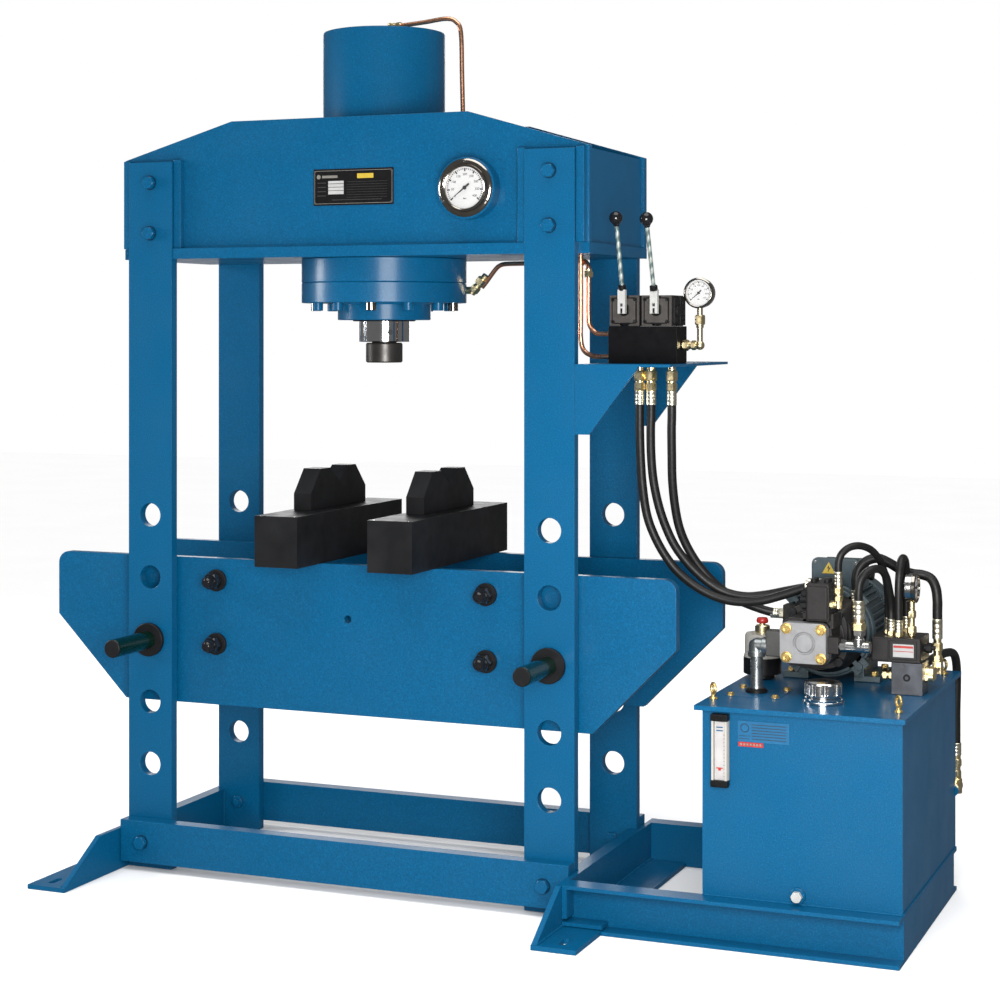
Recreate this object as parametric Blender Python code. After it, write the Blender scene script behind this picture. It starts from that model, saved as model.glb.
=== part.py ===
"""Hydraulic shop press: four-post frame, hydraulic cylinder, height-adjustable bed and a power unit.

Every size below is in millimetres in the press's own coordinates: X = 0 is the middle between the
legs, Y = 0 is the front face of the front legs, Z = 0 is the floor. finish() turns a solid into
metres and moves the origin to the middle of the whole machine's footprint.
"""
import math

import bmesh
import bpy
from mathutils import Matrix, Vector

MM = 0.001
GAP = 0.3  # left between faces that touch

# Frame
HOLE_PITCH = 150
LOWEST_HOLE = 251
HOLE_COUNT = 5
HOLE_RADIUS = 28
LEG_WIDTH = 120
LEG_THICKNESS = 25
LEG_HEIGHT = 1702
LEG_OUTER = 575.5
LEG_INNER = LEG_OUTER - LEG_WIDTH
LEG_CENTRE = LEG_OUTER - LEG_WIDTH / 2
REAR_LEG = 431
REAR_FACE = REAR_LEG + LEG_THICKNESS
MIDDLE_Y = REAR_FACE / 2
BOLT_ACROSS = 28
BOLT_HEAD = 12

# Base
BAR_BOTTOM = 20
BAR_TOP = 120
BAR_THICKNESS = 38
RAIL_INNER = 577
RAIL_THICKNESS = 12
RAIL_WIDTH = 101
RAIL_HEIGHT = 98
FOOT_TIP = -270
FOOT_SHOULDER = -122
RAIL_END = 546

# Head
FLOOR_BOTTOM = 1468
FLOOR_TOP = 1493
HEAD_END = 601.5
HEAD_END_HEIGHT = 1709
HEAD_PEAK_X = 306.5
HEAD_PEAK = 1795
WEB_THICKNESS = 20
KEY_WIDTH = 19
KEY_DEPTH = 17
GAUGE_X = 318
GAUGE_Z = 1618

# Cylinder and ram
BARREL_RADIUS = 147.5
BARREL_TOP = 2013
BORE_RADIUS = 110
FLANGE_RADIUS = 199.3
SPLIT_Z = 1410
GLAND_FLANGE_BOTTOM = 1362
GLAND_RADIUS = 112.4
GLAND_BOTTOM = 1321
ROD_RADIUS = 61.3
ROD_BOTTOM = 1268.5
NOSE_RADIUS = 44.3
NOSE_BOTTOM = 1218.5
STROKE = 300
FLANGE_BOLTS = 12

# Bed
BED_TOP = 749.5
BED_BOTTOM = 398.5
BED_HALF = 800
BED_SLOPE_TOP = 595
BED_SLOPE_X = 605
BED_CORNER = 28
BED_FRONT = 35
BED_THICKNESS = 25
BED_REAR = REAR_FACE - BED_FRONT - BED_THICKNESS
PIN_RADIUS = 22
PIN_HEIGHT = LOWEST_HOLE + 2 * HOLE_PITCH
PIN_FRONT = -168
PIN_REAR = 475
TIE_X = 350
TIE_HEIGHTS = (545, 697)
SUPPORT_TOP = 868
SUPPORT_WIDTH = 111
SUPPORT_LENGTH = 566
SUPPORT_LEFT = (-179, -90)
SUPPORT_RIGHT = (112, -94)
VEE_WIDTH = 46
VEE_LEFT = -169
VEE_RIGHT = 126

# Valve station
SHELF_RIGHT = 796.6
SHELF_REAR = 451.7
SHELF_TOP = 1222
SHELF_THICKNESS = 6
GUSSET_REACH = 722
GUSSET_FOOT = 1066
MANIFOLD = (612.6, 775, 120, 193.5, SHELF_TOP + GAP, 1305.8)
VALVE_WIDTH = 70
VALVE_FRONT = 126
VALVE_REAR = 217
VALVE_TOP = 1375.2
VALVE_LEFT_X = 649
VALVE_RIGHT_X = 725
LEVER_PIVOT = (131, 1318)
LEVER_REACH = 238
LEVER_LEAN_LEFT = 15.5
LEVER_LEAN_RIGHT = 19.0
PORT_Y = 170
PORTS_X = (671, 698, 747)

# Power unit
CHANNEL_LEFT = 589.5
CHANNEL_RIGHT = 1319.5
CHANNEL_FRONT = -116
CHANNEL_HEIGHT = 98.5
CHANNEL_FLANGE = 50
CHANNEL_WALL = 8
TANK = (891, 1317, -70, 540, 98.8, 492.7)
TANK_WALL = 4
LID = (878, 1326, -90, 566, 493, 503)
AXIS_X = 1074
AXIS_Z = 621
PUMP_FRONT = 75
MOTOR_FRONT = 298
MOTOR_REAR = 548
MOTOR_RADIUS = 96
FIN_RADIUS = 108
ELBOW_X = 1312
ELBOW_Y = 578
ELBOW_RADIUS = 13
CAP_CENTRE = (1126, 37)
NECK_HEIGHT = 7
SUCTION = (960, 111)
FILTER = (922, 300)
BLOCK = (1238, 1306, 198, 264)
UNIT_GAUGE = (1290, 228, 734)

# Footprint, used to put the origin at its centre
X_LOW = -BED_HALF
X_HIGH = LID[1]
Y_LOW = FOOT_TIP
Y_HIGH = ELBOW_Y + ELBOW_RADIUS
CENTRE_X = (X_LOW + X_HIGH) / 2
CENTRE_Y = (Y_LOW + Y_HIGH) / 2


# ---------------------------------------------------------------- materials
def material(name, colour, roughness, metallic):
    """A Principled material of one colour."""
    result = bpy.data.materials.new(name)
    result.use_nodes = True
    shader = result.node_tree.nodes["Principled BSDF"]
    shader.inputs["Base Color"].default_value = (*colour, 1)
    shader.inputs["Roughness"].default_value = roughness
    shader.inputs["Metallic"].default_value = metallic
    return result


FINISHES = {
    "blue_paint": ((0.010, 0.150, 0.350), 0.38, 0.0),
    "chrome_rod": ((0.80, 0.80, 0.80), 0.10, 1.0),
    "black_steel": ((0.028, 0.028, 0.030), 0.42, 0.6),
    "green_pin": ((0.004, 0.040, 0.026), 0.25, 0.2),
    "copper_pipe": ((0.72, 0.30, 0.15), 0.28, 1.0),
    "gauge_steel": ((0.55, 0.55, 0.53), 0.22, 1.0),
    "needle_black": ((0.015, 0.015, 0.015), 0.5, 0.0),
    "manifold_black": ((0.012, 0.012, 0.014), 0.35, 0.3),
    "valve_iron": ((0.17, 0.155, 0.145), 0.5, 0.5),
    "lever_zinc": ((0.62, 0.64, 0.60), 0.35, 0.9),
    "motor_grey": ((0.10, 0.15, 0.17), 0.5, 0.2),
    "pump_iron": ((0.13, 0.12, 0.115), 0.5, 0.4),
    "galvanised": ((0.58, 0.60, 0.60), 0.3, 0.95),
    "cream_plastic": ((0.74, 0.71, 0.63), 0.45, 0.0),
    "rubber_hose": ((0.020, 0.020, 0.021), 0.55, 0.0),
}


# ---------------------------------------------------------------- solids, in millimetres
def from_bmesh(bm):
    """A temporary object that holds one closed solid."""
    bmesh.ops.recalc_face_normals(bm, faces=bm.faces)
    mesh = bpy.data.meshes.new("solid")
    bm.to_mesh(mesh)
    bm.free()
    solid = bpy.data.objects.new("solid", mesh)
    bpy.context.scene.collection.objects.link(solid)
    return solid


def block(x0, x1, y0, y1, z0, z1):
    """A box between two corners."""
    bm = bmesh.new()
    size = Matrix.Diagonal((x1 - x0, y1 - y0, z1 - z0, 1))
    middle = Matrix.Translation(((x0 + x1) / 2, (y0 + y1) / 2, (z0 + z1) / 2))
    bmesh.ops.create_cube(bm, size=1, matrix=middle @ size)
    return from_bmesh(bm)


def prism(outline, axis, low, high):
    """An outline in the plane across an axis, extruded from low to high along it.

    axis X takes (y, z) points, axis Y takes (x, z) points and axis Z takes (x, y) points.
    """
    spots = {
        "X": lambda a, b: (low, a, b),
        "Y": lambda a, b: (a, low, b),
        "Z": lambda a, b: (a, b, low),
    }
    step = {"X": (1, 0, 0), "Y": (0, 1, 0), "Z": (0, 0, 1)}[axis]
    bm = bmesh.new()
    face = bm.faces.new([bm.verts.new(spots[axis](*point)) for point in outline])
    grown = bmesh.ops.extrude_face_region(bm, geom=[face])
    moved = [item for item in grown["geom"] if isinstance(item, bmesh.types.BMVert)]
    bmesh.ops.translate(bm, verts=moved, vec=Vector(step) * (high - low))
    return from_bmesh(bm)


def lathe(profile, centre, axis, segments=20):
    """A solid of revolution from (radius, distance) points along an axis through centre."""
    turn = {
        "X": Matrix.Rotation(math.pi / 2, 4, "Y"),
        "Y": Matrix.Rotation(-math.pi / 2, 4, "X"),
        "Z": Matrix.Identity(4),
    }[axis]
    bm = bmesh.new()
    rings = []
    for radius, distance in profile:
        if radius == 0:
            rings.append([bm.verts.new((0, 0, distance))])
            continue
        angles = [2 * math.pi * step / segments for step in range(segments)]
        ring = [bm.verts.new((radius * math.cos(a), radius * math.sin(a), distance)) for a in angles]
        rings.append(ring)
    closed = profile[0][0] > 0
    pairs = list(zip(rings, rings[1:]))
    if closed:
        pairs.append((rings[-1], rings[0]))
    for first, second in pairs:
        for step in range(segments):
            following = (step + 1) % segments
            corners = []
            for ring, index in ((first, step), (first, following), (second, following), (second, step)):
                vert = ring[index] if len(ring) > 1 else ring[0]
                if vert not in corners:
                    corners.append(vert)
            if len(corners) > 2:
                bm.faces.new(corners)
    bmesh.ops.transform(bm, matrix=Matrix.Translation(centre) @ turn, verts=bm.verts)
    return from_bmesh(bm)


def rod(centre, axis, radius, low, high, segments=12):
    """A plain cylinder from low to high along an axis, given in press coordinates."""
    index = "XYZ".index(axis)
    start = list(centre)
    start[index] = 0
    return lathe([(0, low), (radius, low), (radius, high), (0, high)], start, axis, segments)


def ball(centre, radius, segments=20):
    """A sphere."""
    bm = bmesh.new()
    bmesh.ops.create_uvsphere(
        bm, u_segments=segments, v_segments=segments // 2, radius=radius,
        matrix=Matrix.Translation(centre),
    )
    return from_bmesh(bm)


def hexagon(centre, axis, across, low, high):
    """A hexagonal bar, such as a bolt head or a nut, with a flat-to-flat size."""
    return rod(centre, axis, across / math.sqrt(3), low, high, 6)


def combine(solid, other, operation):
    """Apply one Boolean to a solid and remove the other one."""
    modifier = solid.modifiers.new("combine", "BOOLEAN")
    modifier.object = other
    modifier.operation = operation
    modifier.solver = "EXACT"
    graph = bpy.context.evaluated_depsgraph_get()
    mesh = bpy.data.meshes.new_from_object(solid.evaluated_get(graph))
    solid.modifiers.clear()
    spare = solid.data
    solid.data = mesh
    bpy.data.meshes.remove(spare)
    bpy.data.objects.remove(other)
    return solid


def fuse(*solids):
    """One body from solids that overlap."""
    result = solids[0]
    for other in solids[1:]:
        combine(result, other, "UNION")
    return result


def cut(solid, *tools):
    """Take tools away from a solid."""
    for tool in tools:
        combine(solid, tool, "DIFFERENCE")
    return solid


def to_frame(point):
    """A point in press millimetres as metres from the middle of the footprint."""
    x, y, z = point
    return Vector(((x - CENTRE_X) * MM, (y - CENTRE_Y) * MM, z * MM))


def finish(solid, name, finish_name, origin=(0, 0, 0)):
    """Name a solid, turn it into metres and put its object's origin at a point."""
    start = Vector(origin)
    mesh = solid.data
    bm = bmesh.new()
    bm.from_mesh(mesh)
    bmesh.ops.remove_doubles(bm, verts=bm.verts, dist=0.002)
    bmesh.ops.dissolve_degenerate(bm, edges=bm.edges, dist=0.002)
    bmesh.ops.translate(bm, verts=bm.verts, vec=-start)
    bmesh.ops.scale(bm, verts=bm.verts, vec=(MM, MM, MM))
    bm.to_mesh(mesh)
    bm.free()
    solid.name = name
    mesh.name = name
    solid.location = to_frame(start)
    mesh.materials.clear()
    mesh.materials.append(material(name, *FINISHES[finish_name]))
    return solid


# ---------------------------------------------------------------- frame
def make_leg(name, side, front):
    """A flat bar on end with a row of pin holes and its bolt heads on the outer face."""
    x = side * LEG_CENTRE
    outward = -1 if front else 1
    y0 = 0 if front else REAR_LEG
    y1 = y0 + LEG_THICKNESS
    leg = block(x - LEG_WIDTH / 2, x + LEG_WIDTH / 2, y0, y1, 0, LEG_HEIGHT)
    for step in range(HOLE_COUNT):
        height = LOWEST_HOLE + step * HOLE_PITCH
        cut(leg, rod((x, 0, height), "Y", HOLE_RADIUS, y0 - 5, y1 + 5, 20))
    for height in (1530, 1652):
        face = y0 if front else y1
        ends = sorted((face - outward, face + outward * BOLT_HEAD))
        fuse(leg, hexagon((x, 0, height), "Y", BOLT_ACROSS, *ends))
    finish(leg, name, "blue_paint")


def make_base_bar(name, front):
    """The cross bar bolted to the legs near the floor."""
    outward = -1 if front else 1
    inner = -GAP if front else REAR_FACE + GAP
    outer = inner + outward * BAR_THICKNESS
    bar = block(-LEG_OUTER, LEG_OUTER, *sorted((inner, outer)), BAR_BOTTOM, BAR_TOP)
    for side in (-1, 1):
        ends = sorted((outer - outward, outer + outward * BOLT_HEAD))
        fuse(bar, hexagon((side * LEG_CENTRE, 0, 70), "Y", BOLT_ACROSS, *ends))
    finish(bar, name, "blue_paint")


def make_side_rail(name, side):
    """An angle along the floor with a pointed foot, and the flat bar welded between two legs."""
    inner = side * RAIL_INNER
    outer = inner + side * RAIL_THICKNESS
    outline = [
        (FOOT_TIP, 0), (FOOT_TIP, 8), (FOOT_SHOULDER, RAIL_HEIGHT),
        (RAIL_END, RAIL_HEIGHT), (RAIL_END, 0),
    ]
    wall = prism(outline, "X", *sorted((inner, outer)))
    edge = inner + side * RAIL_WIDTH
    sole = block(*sorted((inner, edge)), FOOT_TIP, RAIL_END - 48, 0, 10)
    slot_x = inner + side * 58
    slot = block(slot_x - 8, slot_x + 8, -235, -205, -5, 15)
    slot = fuse(slot, rod((slot_x, -235, 0), "Z", 8, -5, 15, 12), rod((slot_x, -205, 0), "Z", 8, -5, 15, 12))
    tie = block(
        *sorted((inner + side, side * 558)), LEG_THICKNESS + GAP, REAR_LEG - GAP, 0, RAIL_HEIGHT,
    )
    rail = fuse(wall, sole, tie)
    cut(rail, slot)
    finish(rail, name, "blue_paint")


# ---------------------------------------------------------------- head
def head_outline(bottom):
    """The web's five-sided outline, from its lower left corner."""
    return [
        (-HEAD_END, bottom), (HEAD_END, bottom), (HEAD_END, HEAD_END_HEIGHT),
        (HEAD_PEAK_X, HEAD_PEAK), (-HEAD_PEAK_X, HEAD_PEAK), (-HEAD_END, HEAD_END_HEIGHT),
    ]


def make_head_web(name, front):
    """A side plate of the head with the key bars that hold each leg; the front one has the gauge ring."""
    y0 = LEG_THICKNESS + GAP if front else REAR_LEG - GAP - WEB_THICKNESS
    web = prism(head_outline(FLOOR_TOP + GAP), "Y", y0, y0 + WEB_THICKNESS)
    face = y0 if front else y0 + WEB_THICKNESS
    outward = -1 if front else 1
    ends = sorted((face - outward, face + outward * KEY_DEPTH))
    for side in (-1, 1):
        for near in (LEG_INNER - 0.5 - KEY_WIDTH, LEG_OUTER + 0.5):
            span = sorted((side * near, side * (near + KEY_WIDTH)))
            fuse(web, block(*span, *ends, FLOOR_TOP + GAP, HEAD_END_HEIGHT - 2))
    if front:
        fuse(web, rod((GAUGE_X, 0, GAUGE_Z), "Y", 70, -12, face + 1, 28))
        cut(web, rod((GAUGE_X, 0, GAUGE_Z), "Y", 56, -20, 80, 28))
    finish(web, name, "blue_paint")


def make_head_floor():
    """The head's bottom plate, notched round the legs, with the closing plates at its ends."""
    tongue = LEG_INNER - 1
    plate = block(-HEAD_END, HEAD_END, LEG_THICKNESS + GAP, REAR_LEG - GAP, FLOOR_BOTTOM, FLOOR_TOP)
    fuse(plate, block(-tongue, tongue, 2, REAR_FACE - 2, FLOOR_BOTTOM, FLOOR_TOP))
    for side in (-1, 1):
        span = sorted((side * (HEAD_END - 20), side * (HEAD_END - 8)))
        low = LEG_THICKNESS + WEB_THICKNESS + 2 * GAP
        high = REAR_LEG - WEB_THICKNESS - 2 * GAP
        fuse(plate, block(*span, low, high, FLOOR_TOP - 1, HEAD_END_HEIGHT - 4))
    cut(plate, rod((1, MIDDLE_Y, 0), "Z", BARREL_RADIUS + 0.6, 1400, 1550, 36))
    cut(plate, rod((PIPE_DROP[0], PIPE_DROP[1], 0), "Z", 9, 1400, 1550, 10))
    finish(plate, "head_floor", "blue_paint")


# ---------------------------------------------------------------- cylinder and ram
def make_cylinder():
    """The barrel with its upper flange, and the gland with its lower flange and bolt heads."""
    centre = (1, MIDDLE_Y, 0)
    barrel = lathe(
        [
            (0, BARREL_TOP - 38), (BORE_RADIUS, BARREL_TOP - 38), (BORE_RADIUS, SPLIT_Z + GAP),
            (FLANGE_RADIUS, SPLIT_Z + GAP), (FLANGE_RADIUS, FLOOR_BOTTOM - GAP),
            (BARREL_RADIUS, FLOOR_BOTTOM - GAP), (BARREL_RADIUS, BARREL_TOP - 3),
            (BARREL_RADIUS - 3, BARREL_TOP), (0, BARREL_TOP),
        ],
        centre, "Z", 36,
    )
    fuse(barrel, rod((22, MIDDLE_Y, 0), "Z", 22, BARREL_TOP - 2, BARREL_TOP + 7, 16))
    finish(barrel, "cylinder_barrel", "blue_paint")

    gland = lathe(
        [
            (ROD_RADIUS + 0.5, GLAND_BOTTOM), (GLAND_RADIUS - 1.5, GLAND_BOTTOM),
            (GLAND_RADIUS, GLAND_BOTTOM + 1.5), (GLAND_RADIUS, GLAND_FLANGE_BOTTOM),
            (FLANGE_RADIUS, GLAND_FLANGE_BOTTOM), (FLANGE_RADIUS, SPLIT_Z), (ROD_RADIUS + 0.5, SPLIT_Z),
        ],
        centre, "Z", 36,
    )
    for step in range(FLANGE_BOLTS):
        angle = 2 * math.pi * (step + 0.5) / FLANGE_BOLTS
        x = centre[0] + 168 * math.cos(angle)
        y = centre[1] + 168 * math.sin(angle)
        head = rod((x, y, 0), "Z", 12.5, GLAND_FLANGE_BOTTOM - 19, GLAND_FLANGE_BOTTOM + 1, 8)
        fuse(gland, head)
    finish(gland, "cylinder_gland", "blue_paint")


def make_ram():
    """The chromed rod with its piston, and the hardened nose at its tip."""
    centre = (1, MIDDLE_Y, 0)
    ram = lathe(
        [
            (0, ROD_BOTTOM + 25), (31, ROD_BOTTOM + 25), (31, ROD_BOTTOM), (ROD_RADIUS - 1.5, ROD_BOTTOM),
            (ROD_RADIUS, ROD_BOTTOM + 1.5), (ROD_RADIUS, 1885), (BORE_RADIUS - 0.9, 1885),
            (BORE_RADIUS - 0.9, 1965), (0, 1965),
        ],
        centre, "Z", 32,
    )
    origin = (1, MIDDLE_Y, ROD_BOTTOM)
    finish(ram, "ram", "chrome_rod", origin)
    nose = lathe(
        [
            (0, NOSE_BOTTOM), (NOSE_RADIUS - 3, NOSE_BOTTOM), (NOSE_RADIUS, NOSE_BOTTOM + 3),
            (NOSE_RADIUS, ROD_BOTTOM - 5), (NOSE_RADIUS - 3, ROD_BOTTOM - 2), (30, ROD_BOTTOM - 2),
            (30, ROD_BOTTOM + 22), (0, ROD_BOTTOM + 22),
        ],
        centre, "Z", 24,
    )
    finish(nose, "ram_nose", "black_steel", origin)


# ---------------------------------------------------------------- pipes and hoses
def smooth(points, spacing):
    """Evenly spaced points on a Catmull-Rom curve through a route's points."""
    spots = [Vector(point) for point in points]
    ends = [spots[0] * 2 - spots[1], *spots, spots[-1] * 2 - spots[-2]]
    dense = []
    for index in range(1, len(ends) - 2):
        before, here, ahead, after = ends[index - 1:index + 3]
        for step in range(24):
            t = step / 24
            dense.append(
                0.5 * (
                    2 * here + (ahead - before) * t
                    + (2 * before - 5 * here + 4 * ahead - after) * t * t
                    + (3 * here - before - 3 * ahead + after) * t ** 3
                )
            )
    dense.append(spots[-1])
    total = sum((b - a).length for a, b in zip(dense, dense[1:]))
    count = max(6, round(total / spacing))
    result = [dense[0]]
    walked = 0
    for a, b in zip(dense, dense[1:]):
        length = (b - a).length
        while len(result) < count and walked + length >= total * len(result) / count:
            part = (total * len(result) / count - walked) / length
            result.append(a.lerp(b, part))
        walked += length
    result.append(dense[-1])
    return result


def make_tube(name, route, radius, finish_name, spacing):
    """A bent pipe or hose: a curve with a round bevel along a route."""
    data = bpy.data.curves.new(name, "CURVE")
    data.dimensions = "3D"
    data.bevel_depth = radius * MM
    data.bevel_resolution = 2
    data.use_fill_caps = True
    path = smooth(route, spacing)
    spline = data.splines.new("POLY")
    spline.points.add(len(path) - 1)
    for point, spot in zip(spline.points, path):
        point.co = (*to_frame(spot), 1)
    tube = bpy.data.objects.new(name, data)
    bpy.context.scene.collection.objects.link(tube)
    data.materials.append(material(name, *FINISHES[finish_name]))
    return tube


PIPE_DROP = (530, 165)
PIPE_RADIUS = 5.5

# From the top of the barrel, down inside the head, through its floor and round to the manifold.
ROUTE_TOP = [
    (47, MIDDLE_Y, 2031), (110, MIDDLE_Y, 2036), (165, MIDDLE_Y, 2041), (190, MIDDLE_Y, 2032),
    (203, MIDDLE_Y, 2005), (206, MIDDLE_Y, 1900), (210, MIDDLE_Y, 1750), (216, MIDDLE_Y, 1600),
    (228, MIDDLE_Y, 1540), (262, 218, 1520), (380, 186, 1520), (488, 168, 1522),
    (513, 165, 1522), (526, 165, 1513), (530, 165, 1497), (530, 165, 1465), (530, 165, 1420),
    (530, 165, 1330), (530, 165, 1278),
    (538, 165, 1250), (560, 164, 1238), (590, 163, 1236.5), (612.2, 163, 1236.5),
]
# From the elbow on the gland's side, along the head's floor and down to the manifold.
ROUTE_SIDE = [
    (226, 304, 1400), (238, 302, 1413), (262, 296, 1440), (276, 292, 1451), (296, 286, 1455),
    (350, 264, 1455), (450, 217, 1455), (528, 179, 1455), (543, 170, 1451), (549, 165, 1438),
    (549, 165, 1400), (549, 165, 1330), (553, 165, 1306), (567, 165, 1291), (588, 165, 1288.5),
    (612.2, 165, 1288.5),
]

HOSE_RADIUS = 10
# Three hoses hang from the valve shelf and rise again to the power unit.
ROUTE_HOSE_LEFT = [
    (671, 170, 1127), (671, 170, 1100), (671, 170, 1070), (672, 172, 1013), (676, 174, 945),
    (685, 177, 880), (702, 179, 832), (727, 182, 787), (758, 185, 749), (801, 188, 717),
    (847, 192, 696), (893, 195, 688), (944, 198, 692), (992, 202, 706), (1043, 205, 724),
    (1077, 206, 731),
]
ROUTE_HOSE_MIDDLE = [
    (698, 170, 1127), (698, 170, 1100), (697, 170, 1071), (697, 173, 1014), (701, 177, 957),
    (712, 181, 900), (728, 186, 850), (750, 190, 805), (782, 196, 764), (821, 204, 728),
    (860, 212, 706), (905, 217, 698), (950, 223, 703), (998, 227, 714), (1042, 229, 724),
    (1077, 229, 734),
]
ROUTE_HOSE_RIGHT = [
    (747, 170, 1127), (747, 170, 1100), (746, 171, 1072), (745, 176, 1015), (744, 183, 958),
    (747, 192, 901), (755, 201, 849), (771, 211, 804), (798, 222, 758), (836, 233, 716),
    (880, 244, 686), (929, 254, 667), (960, 261, 659), (981, 262, 658),
]
# Short hoses between the pump, the relief valve and the tank.
ROUTE_PILOT = [
    (1142, 110, 776), (1142, 110, 792), (1147, 113, 812), (1162, 124, 827), (1182, 142, 830),
    (1201, 168, 819), (1213, 196, 795), (1219, 222, 762), (1221, 240, 722), (1221, 248, 692),
    (1221, 248, 678), (1221, 248, 664),
]
ROUTE_DELIVERY = [
    (1186, 110, 716), (1186, 110, 734), (1189, 113, 756), (1199, 122, 773), (1212, 138, 781),
    (1223, 160, 778), (1228, 188, 762), (1230, 210, 732), (1232, 223, 704), (1232, 228, 684),
    (1232, 228, 664),
]
ROUTE_LOOP = [
    (1251, 214, 664), (1251, 214, 690), (1251, 215, 735), (1252, 221, 770), (1252, 236, 790),
    (1253, 254, 795), (1254, 270, 786), (1254, 281, 762), (1254, 285, 730), (1254, 285, 692),
    (1254, 285, 664),
]
ROUTE_DRAIN = [
    (1142, 286, 716), (1142, 286, 745), (1149, 289, 766), (1164, 296, 781), (1186, 302, 787),
    (1208, 310, 778), (1232, 320, 763), (1256, 332, 753), (1280, 338, 750), (1299, 337, 742),
    (1310, 333, 722), (1314, 330, 695), (1314, 330, 675), (1314, 330, 655),
]
ROUTE_RETURN = [
    (1284, 292, 548), (1284, 310, 548), (1285, 350, 551), (1290, 430, 553), (1300, 500, 553),
    (1308, 545, 548), (1312, 566, 534), (1313, 579, 505), (1313, 579, 460), (1312, 578, 410),
    (1312, 578, 370), (1312, 578, 350), (1312, 578, 334),
]


# ---------------------------------------------------------------- gauges
def make_gauge(name, centre, axis, radius, depth, stem=None, flange=0):
    """A gauge case with a recessed dial, an optional mounting flange and an optional stem.

    The dial faces -Y when axis is Y and +X when axis is X; centre is the middle of its rim.
    """
    outward = -1 if axis == "Y" else 1
    rim = centre["XYZ".index(axis)]
    floor = rim - outward * 6
    back = rim - outward * depth
    start = list(centre)
    start["XYZ".index(axis)] = 0
    outer = radius + flange
    ledge = rim - outward * 8
    profile = [
        (0, floor), (radius - 5, floor), (radius - 4, rim), (outer - 3, rim - outward * 1.5),
        (outer, rim - outward * 4), (outer, ledge), (radius - 1.5, ledge), (radius - 1.5, back + outward * 2),
        (radius - 4, back), (0, back),
    ]
    case = lathe(profile, start, axis, 24)
    if stem:
        fuse(case, *stem)
    finish(case, name, "gauge_steel")


def make_needle(name, centre, axis, length, angle):
    """A gauge needle with its hub; angle is measured from straight down, turning clockwise."""
    outward = -1 if axis == "Y" else 1
    rim = centre["XYZ".index(axis)]
    plane = rim - outward * 3.4
    ends = sorted((plane, plane + outward * 1.2))
    start = list(centre)
    start["XYZ".index(axis)] = 0
    hub = rod(start, axis, length * 0.1, *ends, 8)
    tip = math.radians(angle)
    along = Vector((-math.sin(tip), -math.cos(tip)))
    across = Vector((-along.y, along.x))
    root = along * (-length * 0.35)
    points = [root + across * length * 0.055, root - across * length * 0.055, along * length]
    if axis == "Y":
        outline = [(start[0] + p.x, start[2] + p.y) for p in points]
    else:
        outline = [(start[1] + p.x, start[2] + p.y) for p in points]
    needle = fuse(hub, prism(outline, axis, *ends))
    finish(needle, name, "needle_black", centre)


# ---------------------------------------------------------------- valve station
def make_shelf():
    """The valve shelf and its two gussets."""
    left = LEG_OUTER + 0.5
    bottom = SHELF_TOP - SHELF_THICKNESS
    plate = block(left, SHELF_RIGHT, 0, SHELF_REAR, bottom, SHELF_TOP)
    outline = [
        (left, bottom + 1), (GUSSET_REACH, bottom + 1), (GUSSET_REACH, bottom - 3),
        (left + 34, GUSSET_FOOT), (left, GUSSET_FOOT),
    ]
    fuse(plate, prism(outline, "Y", 0, 8), prism(outline, "Y", SHELF_REAR - 8, SHELF_REAR))
    for x in PORTS_X:
        cut(plate, rod((x, PORT_Y, 0), "Z", 12.5, 1200, 1240, 16))
    finish(plate, "valve_shelf", "blue_paint")


def make_manifold():
    """The black block under the valves, with the hose ends screwed into its underside."""
    x0, x1, y0, y1, z0, z1 = MANIFOLD
    solid = block(x0, x1, y0, y1, z0, z1)
    for x in PORTS_X:
        fuse(
            solid,
            lathe(
                [
                    (0, 1127.3), (10.6, 1127.3), (10.6, 1157), (12, 1158), (12, 1178), (10, 1179),
                    (10, 1182), (12, 1183), (12, 1206), (9, 1207), (9, z0 + 2), (0, z0 + 2),
                ],
                (x, PORT_Y, 0), "Z", 12,
            ),
        )
    finish(solid, "manifold", "manifold_black")


def make_valve(name, x):
    """A hand valve: a square body with a raised front cover and a round opening for its lever."""
    half = VALVE_WIDTH / 2
    bottom = MANIFOLD[5] + GAP
    body = block(x - half, x + half, VALVE_FRONT, VALVE_REAR, bottom, VALVE_TOP)
    cover = block(x - half + 5, x + half - 7, VALVE_FRONT - 4, VALVE_FRONT + 1, bottom + 5, VALVE_TOP - 6)
    fuse(body, cover)
    cut(body, rod((x, 0, LEVER_PIVOT[1]), "Y", 14, VALVE_FRONT - 10, VALVE_FRONT + 24, 16))
    cut(body, block(x - 9.8, x + 9.8, VALVE_FRONT - 10, VALVE_FRONT + 12, LEVER_PIVOT[1], VALVE_TOP + 5))
    finish(body, name, "valve_iron")


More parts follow.
